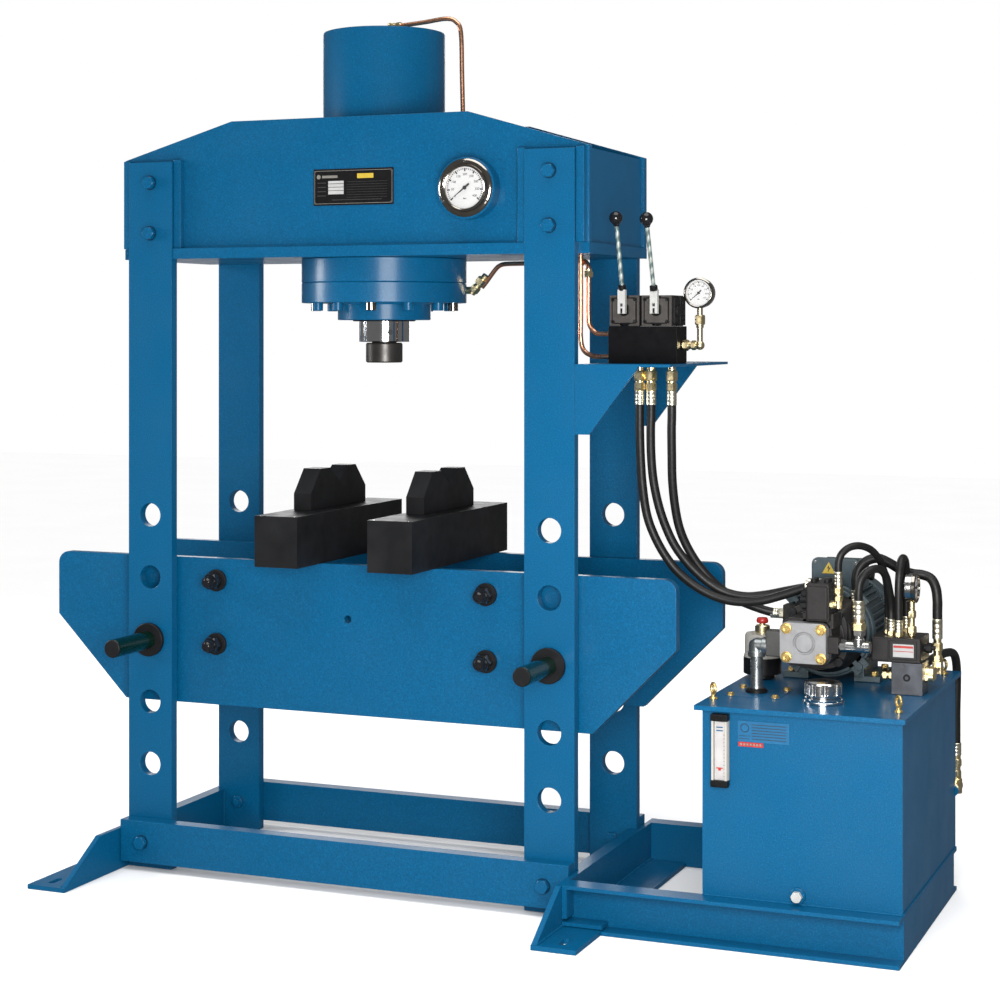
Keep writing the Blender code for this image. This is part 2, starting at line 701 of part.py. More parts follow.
def make_lever(name, x, lean):
    """A clevis, a rod and a ball knob, leaning forward from the pivot by an angle."""
    pivot_y, pivot_z = LEVER_PIVOT
    low = pivot_z + 10
    fork = block(x - 8.8, x + 8.8, pivot_y - 27, pivot_y - 15, pivot_z - 2, pivot_z + 70)
    tongue = block(x - 5, x + 5, pivot_y - 18, pivot_y + 8, pivot_z - 6, pivot_z + 7)
    slot = block(x - 2.5, x + 2.5, pivot_y - 40, pivot_y - 21, pivot_z - 10, low + 15)
    fork = cut(fuse(fork, tongue), slot)
    profile = [(0, 60), (5, 60), (5, 76), (9, 76), (9, 84), (5, 84), (5, LEVER_REACH - 14.4)]
    for step in range(1, 7):
        angle = math.radians(-71 + 161 * step / 6)
        profile.append((15.2 * math.cos(angle) if step < 6 else 0, LEVER_REACH + 15.2 * math.sin(angle)))
    stick = lathe(profile, (x, pivot_y, pivot_z), "Z", 12)
    pivot = Matrix.Translation((x, pivot_y, pivot_z))
    stick.data.transform(pivot @ Matrix.Rotation(math.radians(lean), 4, "X") @ pivot.inverted())
    finish(fuse(fork, stick), name, "lever_zinc", (x, pivot_y, pivot_z))


# ---------------------------------------------------------------- bed
def bed_outline():
    """Half-round top corners and sloping lower ends."""
    points = [(-BED_SLOPE_X, BED_BOTTOM), (BED_SLOPE_X, BED_BOTTOM), (BED_HALF, BED_SLOPE_TOP)]
    for side in (1, -1):
        for step in range(7):
            turn = math.radians(90 * step / 6)
            if side < 0:
                turn = math.pi / 2 - turn
            x = side * (BED_HALF - BED_CORNER + BED_CORNER * math.cos(turn))
            points.append((x, BED_TOP - BED_CORNER + BED_CORNER * math.sin(turn)))
    points.append((-BED_HALF, BED_SLOPE_TOP))
    return points


def make_bed_plate(name, y0):
    """A bed plate with holes for the pins, the tie bolts and, in the middle, a peg."""
    plate = prism(bed_outline(), "Y", y0, y0 + BED_THICKNESS)
    spots = [(side * LEG_CENTRE, PIN_HEIGHT, PIN_RADIUS + 1.5) for side in (-1, 1)]
    spots += [(side * TIE_X, height, 13) for side in (-1, 1) for height in TIE_HEIGHTS]
    spots.append((-1.8, 621.5, 9))
    for x, z, radius in spots:
        cut(plate, rod((x, 0, z), "Y", radius, y0 - 5, y0 + BED_THICKNESS + 5, 16))
    finish(plate, name, "blue_paint")


def make_tie_bolt(name, x, z):
    """A tie bolt through both bed plates, with its spacer tube, collars and domed nuts."""
    front = BED_FRONT
    rear = BED_REAR + BED_THICKNESS
    profile = [
        (0, front - 55), (9, front - 53), (15, front - 47), (17, front - 40), (17, front - 22),
        (20, front - 21), (20, front - 10), (26, front - 9), (26, front - GAP), (12, front - GAP),
        (12, front + BED_THICKNESS + GAP), (24, front + BED_THICKNESS + GAP), (24, BED_REAR - GAP),
        (12, BED_REAR - GAP), (12, rear + GAP), (26, rear + GAP), (26, rear + 5), (17, rear + 6),
        (17, rear + 24), (0, rear + 26),
    ]
    finish(lathe(profile, (x, 0, z), "Y", 12), name, "black_steel")


def make_pin(name, side):
    """A bed pin with its handle and collar."""
    x = side * LEG_CENTRE
    profile = [
        (0, PIN_FRONT), (19, PIN_FRONT), (PIN_RADIUS, PIN_FRONT + 3), (PIN_RADIUS, -13), (40, -13),
        (40, -1), (PIN_RADIUS, -1), (PIN_RADIUS, PIN_REAR - 4), (PIN_RADIUS - 4, PIN_REAR), (0, PIN_REAR),
    ]
    pin = lathe(profile, (x, 0, PIN_HEIGHT), "Y", 20)
    finish(pin, name, "green_pin", (x, PIN_FRONT, PIN_HEIGHT))


def make_support(name, corner):
    """A square bar that lies across both bed plates."""
    x, y = corner
    bottom = BED_TOP + GAP
    bar = block(x, x + SUPPORT_WIDTH, y, y + SUPPORT_LENGTH, bottom, SUPPORT_TOP)
    finish(bar, name, "black_steel", (x, y, bottom))


def make_vee(name, x):
    """A vee block that stands on a support bar, its groove across the press."""
    bottom = SUPPORT_TOP + GAP
    outline = [
        (84, bottom), (84, 907), (134, 964), (184, 964), (233, 928), (284, 964), (323, 964), (378, 909),
        (378, bottom),
    ]
    vee = prism(outline, "X", x, x + VEE_WIDTH)
    finish(vee, name, "black_steel", (x, 84, bottom))


# ---------------------------------------------------------------- power unit
def make_unit_frame():
    """Front and rear channels with a right-hand member, open side outward at the front and rear."""
    left, right, front, height, wall = CHANNEL_LEFT, CHANNEL_RIGHT, CHANNEL_FRONT, CHANNEL_HEIGHT, CHANNEL_WALL
    inner = front + CHANNEL_FLANGE
    clear = RAIL_INNER + RAIL_WIDTH + 1
    lift = 12
    web = 500
    back = web + 42
    parts = [
        block(left, right, inner - 6, inner, lift, height),
        block(clear, right, inner - 6, inner, 0, lift + 1),
        block(left, right, front, inner, height - wall, height),
        block(clear, right, front, inner, 0, wall),
        block(left, clear + 1, front, inner, lift, lift + wall),
        block(left, left + 11, front, inner, 27, height),
        block(right - 6, right, inner - 1, web + 1, 0, height),
        block(right - CHANNEL_FLANGE, right, inner - 1, web + 1, 0, wall),
        block(right - CHANNEL_FLANGE, right, inner - 1, web + 1, height - wall, height),
        block(left, right, web, web + 6, 0, height),
        block(left, right, web, back, height - wall, height),
        block(left, right, web, back, 0, wall),
    ]
    finish(fuse(*parts), "unit_frame", "blue_paint")


def make_tank():
    """The open-topped oil tank with its return elbow, and the lid that carries the pump and motor."""
    x0, x1, y0, y1, z0, z1 = TANK
    wall = TANK_WALL
    tank = block(x0, x1, y0, y1, z0, z1)
    fuse(tank, rod((ELBOW_X, 0, 230), "Y", 13, y1 - 6, ELBOW_Y))
    elbow = [(0, 217), (ELBOW_RADIUS, 217), (ELBOW_RADIUS, 246), (10, 247), (10, 333.7), (0, 333.7)]
    fuse(tank, lathe(elbow, (ELBOW_X, ELBOW_Y, 0), "Z", 12))
    cut(tank, block(x0 + wall, x1 - wall, y0 + wall, y1 - wall, z0 + wall, z1 + 10))
    finish(tank, "tank", "blue_paint")

    lid = fuse(block(*LID), rod((*CAP_CENTRE, 0), "Z", 42, LID[4] + 2, LID[5] + NECK_HEIGHT, 20))
    cut(lid, rod((*CAP_CENTRE, 0), "Z", 30, 480, 520, 20))
    cut(lid, rod((*SUCTION, 0), "Z", 17, 480, 520, 16))
    finish(lid, "tank_lid", "blue_paint")


def make_level_gauge():
    """The sight glass on the tank's front."""
    front = TANK[2] - GAP
    gauge = fuse(
        block(915, 951, front - 12, front, 334, 486),
        block(915, 951, front - 22, front, 334, 348),
        block(915, 951, front - 22, front, 472, 486),
        block(920, 946, front - 20, front, 346, 474),
    )
    finish(gauge, "level_gauge", "cream_plastic")


def make_filler_cap():
    """The cap on the filler neck, with the spigot that fits inside it."""
    low = LID[5] + NECK_HEIGHT + GAP
    x, y = CAP_CENTRE
    cap = lathe(
        [
            (0, low - 16), (26, low - 16), (26, low), (38, low), (38, low + 4), (40, low + 7),
            (40, low + 34), (36, low + 40), (0, low + 41),
        ],
        (x, y, 0), "Z", 24,
    )
    finish(cap, "filler_cap", "galvanised", (x, y, low))


def make_motor():
    """The electric motor: finned body, feet, terminal box and fan cowl, and the rotor with its fan."""
    start = (AXIS_X, 0, AXIS_Z)
    cowl = MOTOR_REAR - 60
    body = lathe(
        [
            (16, MOTOR_FRONT), (FIN_RADIUS - 2, MOTOR_FRONT), (FIN_RADIUS - 2, MOTOR_FRONT + 16),
            (MOTOR_RADIUS, MOTOR_FRONT + 16), (MOTOR_RADIUS, cowl - 6), (FIN_RADIUS, cowl - 6),
            (FIN_RADIUS, MOTOR_REAR - 6), (FIN_RADIUS - 8, MOTOR_REAR), (30, MOTOR_REAR),
            (30, MOTOR_REAR - 3), (FIN_RADIUS - 8, MOTOR_REAR - 3), (FIN_RADIUS - 4, MOTOR_REAR - 8),
            (FIN_RADIUS - 4, cowl), (16, cowl),
        ],
        start, "Y", 28,
    )
    fins = 18
    for step in range(fins):
        angle = 2 * math.pi * (step + 0.5) / fins
        if abs(math.cos(angle)) < 0.45:
            continue
        fin = block(
            AXIS_X + MOTOR_RADIUS - 8, AXIS_X + FIN_RADIUS, MOTOR_FRONT + 26, MOTOR_REAR - 66,
            AXIS_Z - 1.6, AXIS_Z + 1.6,
        )
        pivot = Matrix.Translation((AXIS_X, 0, AXIS_Z))
        fin.data.transform(pivot @ Matrix.Rotation(-angle, 4, "Y") @ pivot.inverted())
        fuse(body, fin)
    floor = LID[5] + GAP
    for side in (-1, 1):
        span = sorted((AXIS_X + side * 52, AXIS_X + side * 112))
        fuse(body, block(*span, MOTOR_FRONT + 30, MOTOR_REAR - 70, floor, floor + 16))
        rib = sorted((AXIS_X + side * 52, AXIS_X + side * 76))
        fuse(body, block(*rib, MOTOR_FRONT + 30, MOTOR_REAR - 70, floor + 8, AXIS_Z - 40))
    fuse(body, block(AXIS_X - 42, AXIS_X + 62, 338, 446, AXIS_Z + 80, 774))
    fuse(body, block(AXIS_X - 38, AXIS_X + 58, 334, 450, 762, 780))
    finish(body, "motor_body", "motor_grey")

    rotor = fuse(
        rod(start, "Y", 15, MOTOR_FRONT + 2, MOTOR_REAR - 12, 12),
        rod(start, "Y", 34, MOTOR_REAR - 50, MOTOR_REAR - 22, 16),
    )
    blades = 8
    for step in range(blades):
        blade = block(
            AXIS_X + 30, AXIS_X + 92, MOTOR_REAR - 48, MOTOR_REAR - 16, AXIS_Z - 1.5, AXIS_Z + 1.5,
        )
        pivot = Matrix.Translation((AXIS_X, 0, AXIS_Z))
        blade.data.transform(pivot @ Matrix.Rotation(2 * math.pi * step / blades, 4, "Y") @ pivot.inverted())
        fuse(rotor, blade)
    finish(rotor, "motor_rotor", "black_steel", (AXIS_X, MOTOR_REAR, AXIS_Z))


def chamfered(x0, x1, z0, z1, corner):
    """A rectangle with cut corners, as (x, z) points."""
    return [
        (x0 + corner, z0), (x1 - corner, z0), (x1, z0 + corner), (x1, z1 - corner), (x1 - corner, z1),
        (x0 + corner, z1), (x0, z1 - corner), (x0, z0 + corner),
    ]


def make_pump():
    """The pump: front cover, body, pressure compensator, flange, bell housing and its hose ports."""
    start = (AXIS_X, 0, AXIS_Z)
    front = PUMP_FRONT
    parts = [
        prism(chamfered(1020, 1122, 577, 665, 20), "Y", front, front + 34),
        prism(chamfered(1016, 1128, 568, 672, 24), "Y", front + 33, front + 110),
        prism(chamfered(990, 1158, 537, 705, 34), "Y", front + 109, front + 126),
        rod(start, "Y", 72, front + 125, MOTOR_FRONT - 13, 20),
        prism(chamfered(984, 1164, 531, 711, 40), "Y", MOTOR_FRONT - 14, MOTOR_FRONT - GAP),
        block(1074, 1124, front + 15, front + 75, 660, 748),
        block(1064, 1130, front + 40, front + 110, 650, 690),
        block(1126, 1152, front + 18, front + 52, 604, 640),
        block(1080, 1122, front + 100, front + 168, 696, 748),
        block(984.3, 1012, front + 168, front + 204, 640, 676),
        rod((0, 110, 704), "X", 8, 1120, 1150),
        rod((1142, 110, 0), "Z", 9, 696, 775.7),
        rod((0, 110, 626), "X", 13, 1150, 1192),
        rod((1186, 110, 0), "Z", 12, 620, 715.7),
        rod((1142, 286, 0), "Z", 9, 680, 715.7),
    ]
    finish(fuse(*parts), "pump", "pump_iron")


def make_suction():
    """The suction pipe that rises from the tank to the pump's left side."""
    x, y = SUCTION
    pipe = fuse(
        rod((x, y, 0), "Z", 13.5, 470, 592, 16),
        rod((x, y, 0), "Z", 17.5, 582, 602, 16),
        ball((x, y, 606), 17.5, 12),
        rod((0, y, 606), "X", 15, x, 988, 12),
        block(984, 1015, y - 18, y + 20, 590, 640),
    )
    finish(pipe, "suction_pipe", "galvanised")


def make_filter():
    """The breather filter on its foot, with a push knob on top."""
    low = LID[5] + GAP
    canister = lathe(
        [
            (0, low), (26, low), (26, 514), (43, 515), (43, 552), (41, 553), (41, 604), (36, 608),
            (17, 609), (17, 622), (7, 623), (7, 629), (12.5, 630), (13.5, 635), (11, 641), (0, 642),
        ],
        (*FILTER, 0), "Z", 20,
    )
    finish(canister, "filter_canister", "cream_plastic")


def make_relief_valve():
    """The steel block with the relief valve on it and the hose ends that stand on top."""
    x0, x1, y0, y1 = BLOCK
    low = LID[5] + GAP
    parts = [
        block(x0, x1, y0, y1, low, 574),
        block(1193, 1303, y0 - 4, 302, 573, 628),
        rod((0, 230, 541), "X", 11, 1212, 1324),
        rod((1284, 0, 548), "Y", 10, y1 - 2, 291.7),
        block(1302, 1325, 222, 342, 530, 562),
        rod((1314, 330, 0), "Z", 11, 560, 654.7),
    ]
    for x, y in ((1221, 248), (1232, 228), (1251, 214), (1254, 285)):
        parts.append(rod((x, y, 0), "Z", 10, 626, 663.7))
    finish(fuse(*parts), "relief_valve", "pump_iron")


# ---------------------------------------------------------------- assembly
def build():
    """Make every sub-part of the press."""
    for item in list(bpy.data.objects):
        bpy.data.objects.remove(item)
    for place, front in (("front", True), ("rear", False)):
        for hand, side in (("left", -1), ("right", 1)):
            make_leg(f"leg_{place}_{hand}", side, front)
        make_base_bar(f"base_bar_{place}", front)
        make_head_web(f"head_web_{place}", front)
    for hand, side in (("left", -1), ("right", 1)):
        make_side_rail(f"side_rail_{hand}", side)
        make_pin(f"bed_pin_{hand}", side)
    make_head_floor()
    make_cylinder()
    make_ram()
    make_tube("pipe_barrel", ROUTE_TOP, PIPE_RADIUS, "copper_pipe", 26)
    make_tube("pipe_gland", ROUTE_SIDE, PIPE_RADIUS, "copper_pipe", 14)
    make_gauge("head_gauge", (GAUGE_X, -21, GAUGE_Z), "Y", 53, 70, flange=13)
    make_needle("head_gauge_needle", (GAUGE_X, -21, GAUGE_Z), "Y", 40, 52)
    make_shelf()
    make_manifold()
    for hand, x, lean in (("left", VALVE_LEFT_X, LEVER_LEAN_LEFT), ("right", VALVE_RIGHT_X, LEVER_LEAN_RIGHT)):
        make_valve(f"valve_{hand}", x)
        make_lever(f"lever_{hand}", x, lean)
    stem = [
        rod((0, 160, 1263), "X", 9, MANIFOLD[1] + GAP, 824),
        rod((816, 160, 0), "Z", 8, 1256, 1350),
        hexagon((816, 160, 0), "Z", 19, 1307, 1331),
        hexagon((0, 160, 1263), "X", 20, 783, 800),
    ]
    make_gauge("valve_gauge", (816, 145, 1380), "Y", 34.5, 30, stem=stem)
    make_needle("valve_gauge_needle", (816, 145, 1380), "Y", 25, 48)
    make_bed_plate("bed_plate_front", BED_FRONT)
    make_bed_plate("bed_plate_rear", BED_REAR)
    number = 0
    for height in TIE_HEIGHTS:
        for side in (-1, 1):
            number += 1
            make_tie_bolt(f"tie_bolt_{number}", side * TIE_X, height)
    make_support("support_bar_left", SUPPORT_LEFT)
    make_support("support_bar_right", SUPPORT_RIGHT)
    make_vee("vee_block_left", VEE_LEFT)
    make_vee("vee_block_right", VEE_RIGHT)
    make_unit_frame()
    make_tank()
    make_level_gauge()
    make_filler_cap()
    make_motor()
    make_pump()
    make_suction()
    make_filter()
    make_relief_valve()
    x, y, z = UNIT_GAUGE
    stem = [rod((1277, y, 0), "Z", 8, 628.3, z - 20), hexagon((1277, y, 0), "Z", 19, 640, 660)]
    make_gauge("unit_gauge", UNIT_GAUGE, "X", 33, 27, stem=stem)
    make_needle("unit_gauge_needle", UNIT_GAUGE, "X", 24, 48)
    for name, route, radius in (
        ("hose_left", ROUTE_HOSE_LEFT, HOSE_RADIUS),
        ("hose_middle", ROUTE_HOSE_MIDDLE, HOSE_RADIUS),
        ("hose_right", ROUTE_HOSE_RIGHT, HOSE_RADIUS),
        ("hose_pilot", ROUTE_PILOT, 8),
        ("hose_delivery", ROUTE_DELIVERY, 9),
        ("hose_loop", ROUTE_LOOP, 9),
        ("hose_drain", ROUTE_DRAIN, 11),
        ("hose_return", ROUTE_RETURN, HOSE_RADIUS),
    ):
        make_tube(name, route, radius, "rubber_hose", 2.4 * radius)
    print(len(bpy.data.objects), "objects")


build()
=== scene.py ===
import math
import random

import bmesh
import bpy
from mathutils import Matrix, Vector


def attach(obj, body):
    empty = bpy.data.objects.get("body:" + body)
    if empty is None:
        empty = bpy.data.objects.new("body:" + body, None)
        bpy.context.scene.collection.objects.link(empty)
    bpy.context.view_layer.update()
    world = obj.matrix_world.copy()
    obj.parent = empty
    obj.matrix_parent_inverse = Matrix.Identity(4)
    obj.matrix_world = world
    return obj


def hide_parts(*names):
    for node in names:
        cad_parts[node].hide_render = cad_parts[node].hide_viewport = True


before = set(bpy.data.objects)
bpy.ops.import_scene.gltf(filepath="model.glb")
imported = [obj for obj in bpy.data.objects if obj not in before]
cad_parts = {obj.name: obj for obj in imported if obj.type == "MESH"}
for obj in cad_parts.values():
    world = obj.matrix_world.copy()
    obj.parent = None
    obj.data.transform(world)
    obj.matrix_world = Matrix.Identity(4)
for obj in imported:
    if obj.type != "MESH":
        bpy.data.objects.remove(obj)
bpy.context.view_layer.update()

random.seed(4)

# Sizes are in the press's own millimetres: X = 0 between the legs, Y = 0 on the front legs' faces
# and Z = 0 on the floor.
MM = 0.001
CENTRE_X = 263
CENTRE_Y = 160.5
LEG_CENTRE = 515.5
LEG_HEIGHT = 1702
HEAD_END = 601.5
MIDDLE_Y = 228
GAUGE_X = 318
GAUGE_Z = 1618
PIN_HEIGHT = 551
TIE_HEIGHTS = (545, 697)
LID_TOP = 503
CRIMP_BANDS = 4
BASE_BOLT_Z = 70
PORT_XS = (671, 698, 747)
PORT_Y = 170
GAUGE_STEM_X = 816
LEVER_PIVOT_Y = 131
LEVER_PIVOT_Z = 1318
OPENING_Z = 1343
LEVEL_X = 933
RETURN_X = 1312
RETURN_Y = 578
AXIS_X = 1074
AXIS_Z = 621


def at(x, y, z):
    """A point in press millimetres as metres in the frame."""
    return Vector(((x - CENTRE_X) * MM, (y - CENTRE_Y) * MM, z * MM))


# ---------------------------------------------------------------- materials
def shader_material(name, roughness, metallic=0.0, **extra):
    """A node material and its shader, with constant values set on the shader's own sockets."""
    result = bpy.data.materials.new(name)
    result.use_nodes = True
    shader = result.node_tree.nodes["Principled BSDF"]
    shader.inputs["Roughness"].default_value = roughness
    shader.inputs["Metallic"].default_value = metallic
    for socket, value in extra.items():
        shader.inputs[socket.replace("_", " ")].default_value = value
    return result, shader


def add_node(material, kind, **values):
    """A node with some of its inputs or properties set."""
    node = material.node_tree.nodes.new(kind)
    for key, value in values.items():
        if key in node.inputs:
            node.inputs[key].default_value = value
        else:
            setattr(node, key, value)
    return node


def noise(material, scale, detail=3.0, stretch=(1, 1, 1)):
    """Noise over the object's own coordinates, in metres."""
    link = material.node_tree.links.new
    coords = add_node(material, "ShaderNodeTexCoord")
    mapping = add_node(material, "ShaderNodeMapping")
    mapping.inputs["Scale"].default_value = stretch
    texture = add_node(material, "ShaderNodeTexNoise", Scale=scale, Detail=detail)
    link(coords.outputs["Object"], mapping.inputs["Vector"])
    link(mapping.outputs["Vector"], texture.inputs["Vector"])
    return texture.outputs["Fac"]


def ramp(material, source, stops):
    """A colour ramp over a value."""
    node = add_node(material, "ShaderNodeValToRGB")
    band = node.color_ramp
    band.elements[0].position, band.elements[0].color = stops[0][0], (*stops[0][1], 1)
    band.elements[1].position, band.elements[1].color = stops[-1][0], (*stops[-1][1], 1)
    for place, colour in stops[1:-1]:
        band.elements.new(place).color = (*colour, 1)
    material.node_tree.links.new(source, node.inputs["Fac"])
    return node.outputs["Color"]


def spread(material, source, low, high):
    """A value turned into the range from low to high."""
    node = add_node(material, "ShaderNodeMapRange")
    node.inputs["From Min"].default_value = 0.3
    node.inputs["From Max"].default_value = 0.7
    node.inputs["To Min"].default_value = low
    node.inputs["To Max"].default_value = high
    material.node_tree.links.new(source, node.inputs["Value"])
    return node.outputs["Result"]


def bump(material, shader, source, strength, distance):
    """Relief from a value."""
    node = add_node(material, "ShaderNodeBump", Strength=strength, Distance=distance)
    material.node_tree.links.new(source, node.inputs["Height"])
    material.node_tree.links.new(node.outputs["Normal"], shader.inputs["Normal"])


def tone(colour, factor):
    """A colour made lighter or darker."""
    return tuple(min(1, channel * factor) for channel in colour)


def surface(
    name, colour, roughness, metallic=0.0, vary=0.12, grain=60, relief=0.0, relief_scale=400, **extra
):
    """A material whose colour, gloss and relief vary over the surface."""
    material, shader = shader_material(name, roughness, metallic, **extra)
    link = material.node_tree.links.new
    cloud = noise(material, grain)
    stops = ((0.3, tone(colour, 1 - vary)), (0.5, colour), (0.7, tone(colour, 1 + vary)))
    link(ramp(material, cloud, stops), shader.inputs["Base Color"])
    fine = noise(material, grain * 2.3)
    link(spread(material, fine, roughness * 0.85, roughness * 1.15), shader.inputs["Roughness"])
    if relief:
        bump(material, shader, noise(material, relief_scale, 2.0), relief, 0.0005)
    return material


def blue_paint_with_painted_sparkle():
    """Blue paint with the fine dimples of an orange-peel finish; its colour varies at random over the
    dimples, and its lightest dots are painted sparkle highlights.
    """
    blue = (0.0006, 0.066, 0.152)
    material, shader = shader_material(
        "blue paint", 0.34, 0.0, Specular_IOR_Level=0.13, Coat_Weight=0.22, Coat_Roughness=0.2,
    )
    link = material.node_tree.links.new
    dimples = noise(material, 330, 2.0)
    # The top stop (1.45 times the blue) paints light dots into the colour: painted sparkle highlights.
    stops = ((0.30, tone(blue, 0.84)), (0.5, blue), (0.62, tone(blue, 1.12)), (0.74, tone(blue, 1.45)))
    link(ramp(material, dimples, stops), shader.inputs["Base Color"])
    link(spread(material, noise(material, 7, 4.0), 0.29, 0.42), shader.inputs["Roughness"])
    bump(material, shader, dimples, 0.34, 0.0009)
    return material


def zinc_with_painted_twist_shade():
    """Plated round rod whose slanting light and dark bands are painted highlight and painted shade, standing
    for the turning faces of a twisted bar.
    """
    material, shader = shader_material("zinc with painted twist shade", 0.36, 0.5)
    link = material.node_tree.links.new
    coords = add_node(material, "ShaderNodeTexCoord")
    mapping = add_node(material, "ShaderNodeMapping")
    mapping.inputs["Rotation"].default_value = (0, math.radians(38), 0)
    bands = add_node(material, "ShaderNodeTexWave", Scale=17, Distortion=0.4, bands_direction="Z")
    link(coords.outputs["Object"], mapping.inputs["Vector"])
    link(mapping.outputs["Vector"], bands.inputs["Vector"])
    # Painted highlight and shade: the dark and light stops stand for the faces of a twisted bar catching and
    # losing the light.
    stops = ((0.2, (0.13, 0.18, 0.17)), (0.55, (0.28, 0.33, 0.31)), (0.9, (0.40, 0.44, 0.41)))
    link(ramp(material, bands.outputs["Fac"], stops), shader.inputs["Base Color"])
    bump(material, shader, bands.outputs["Fac"], 0.5, 0.001)
    return material


BLUE = blue_paint_with_painted_sparkle()
TWIST_PAINTED_SHADE = zinc_with_painted_twist_shade()
SHADOW_BLUE = surface(
    "paint in the shade", (0.0004, 0.022, 0.050), 0.6, 0.0, 0.15, 60,
    Specular_IOR_Level=0.1,
)
CHROME = surface("chrome rod", (0.80, 0.80, 0.81), 0.09, 1.0, 0.04, 30)
BLACK = surface(
    "black steel", (0.009, 0.0092, 0.010), 0.42, 0.0, 0.25, 14, 0.12, 220,
    Specular_IOR_Level=0.14,
)
NOSE = surface("hardened nose", (0.060, 0.056, 0.053), 0.36, 0.7, 0.2, 20)
GREEN = surface("green pin", (0.0006, 0.011, 0.007), 0.14, 0.0, 0.15, 20, Specular_IOR_Level=0.35)
COPPER = surface("copper pipe", (0.86, 0.43, 0.26), 0.30, 1.0, 0.12, 60)
BRASS = surface("brass fitting", (0.92, 0.76, 0.44), 0.30, 1.0, 0.12, 70, 0.1, 300)
FERRULE = surface("plated ferrule", (0.88, 0.83, 0.66), 0.34, 1.0, 0.1, 70)
STEEL = surface("bright steel", (0.60, 0.60, 0.59), 0.18, 1.0, 0.08, 50)
BEZEL = surface("gauge rim", (0.36, 0.33, 0.29), 0.13, 1.0, 0.1, 50)
DIAL = surface("dial white", (0.43, 0.43, 0.425), 0.6, 0.0, 0.02, 30)
INK = surface("dial ink", (0.015, 0.015, 0.016), 0.6, 0.0, 0.1, 60)
RED = surface("red paint", (0.33, 0.016, 0.012), 0.35, 0.0, 0.1, 60)
YELLOW = surface("yellow label", (0.40, 0.28, 0.02), 0.5, 0.0, 0.05, 60)
LABEL = surface("white label", (0.34, 0.34, 0.335), 0.5, 0.0, 0.05, 60)
SILVER = surface("nameplate silver", (0.20, 0.19, 0.17), 0.4, 0.3, 0.08, 40)
MANIFOLD = surface("manifold black", (0.004, 0.004, 0.0045), 0.4, 0.0, 0.25, 40, Specular_IOR_Level=0.08)
VALVE = surface("valve iron", (0.052, 0.047, 0.043), 0.5, 0.1, 0.12, 90, 0.2, 500, Specular_IOR_Level=0.2)
FORK = surface("white fork", (0.36, 0.36, 0.345), 0.4, 0.0, 0.05, 60)
GLOSS = surface("black ball", (0.008, 0.008, 0.009), 0.10, 0.0, 0.1, 40)
MOTOR = surface("motor paint", (0.026, 0.046, 0.055), 0.36, 0.0, 0.15, 40, 0.25, 320)
PUMP = surface("pump paint", (0.015, 0.0135, 0.013), 0.42, 0.0, 0.2, 60, 0.45, 260, Specular_IOR_Level=0.22)
COVER = surface("pump cover", (0.21, 0.21, 0.213), 0.46, 0.25, 0.12, 50, 0.5, 260)
GALVANISED = surface("galvanised pipe", (0.34, 0.36, 0.36), 0.30, 0.95, 0.25, 50, 0.3, 140)
GREY = surface("grey casting", (0.045, 0.044, 0.042), 0.45, 0.3, 0.15, 50, 0.35, 260)
CREAM = surface("cream plastic", (0.34, 0.325, 0.29), 0.42, 0.0, 0.05, 40)
RUBBER = surface(
    "hose rubber", (0.0075, 0.0072, 0.0070), 0.44, 0.0, 0.2, 120, 0.15, 600,
    Specular_IOR_Level=0.28,
)
PLASTIC = surface("black plastic", (0.006, 0.006, 0.0065), 0.38, 0.0, 0.2, 60, Specular_IOR_Level=0.15)
OIL = surface("sight glass", (0.36, 0.345, 0.34), 0.12, 0.0, 0.06, 50)
WELD = surface(
    "painted weld", (0.0008, 0.066, 0.152), 0.36, 0.0, 0.15, 120, 0.8, 260,
    Specular_IOR_Level=0.12,
)
BLUE_LABEL = surface("blue label", (0.004, 0.085, 0.190), 0.4, 0.0, 0.05, 60, Specular_IOR_Level=0.3)
LABEL_LINE = surface("label line", (0.012, 0.030, 0.055), 0.4, 0.0, 0.05, 60)
YELLOW_ZINC = surface("yellow zinc", (0.72, 0.50, 0.18), 0.28, 0.9, 0.15, 80)
STEEL_BLOCK = surface("bright steel block", (0.055, 0.058, 0.066), 0.32, 0.4, 0.4, 24)


# ---------------------------------------------------------------- solids, in press millimetres
def new_object(name, data):
    """An object for a mesh, curve, lamp or camera, placed in the scene."""
    obj = bpy.data.objects.new(name, data)
    bpy.context.scene.collection.objects.link(obj)
    return obj


def rounded(x0, x1, z0, z1, corner):
    """A rectangle with rounded corners, as (x, z) points."""
    points = []
    for cx, cz, start in ((x1 - corner, z0 + corner, -90), (x1 - corner, z1 - corner, 0),
                          (x0 + corner, z1 - corner, 90), (x0 + corner, z0 + corner, 180)):
        for step in range(7):
            turn = math.radians(start + 15 * step)
            points.append((cx + corner * math.cos(turn), cz + corner * math.sin(turn)))
    return points


def from_bmesh(bm):
    """A temporary object that holds a mesh in millimetres."""
    bmesh.ops.recalc_face_normals(bm, faces=bm.faces)
    mesh = bpy.data.meshes.new("solid")
    bm.to_mesh(mesh)
    bm.free()
    return new_object("solid", mesh)


def block(x0, x1, y0, y1, z0, z1):
    """A box between two corners."""
    bm = bmesh.new()
    size = Matrix.Diagonal((x1 - x0, y1 - y0, z1 - z0, 1))
    middle = Matrix.Translation(((x0 + x1) / 2, (y0 + y1) / 2, (z0 + z1) / 2))
    bmesh.ops.create_cube(bm, size=1, matrix=middle @ size)
    return from_bmesh(bm)


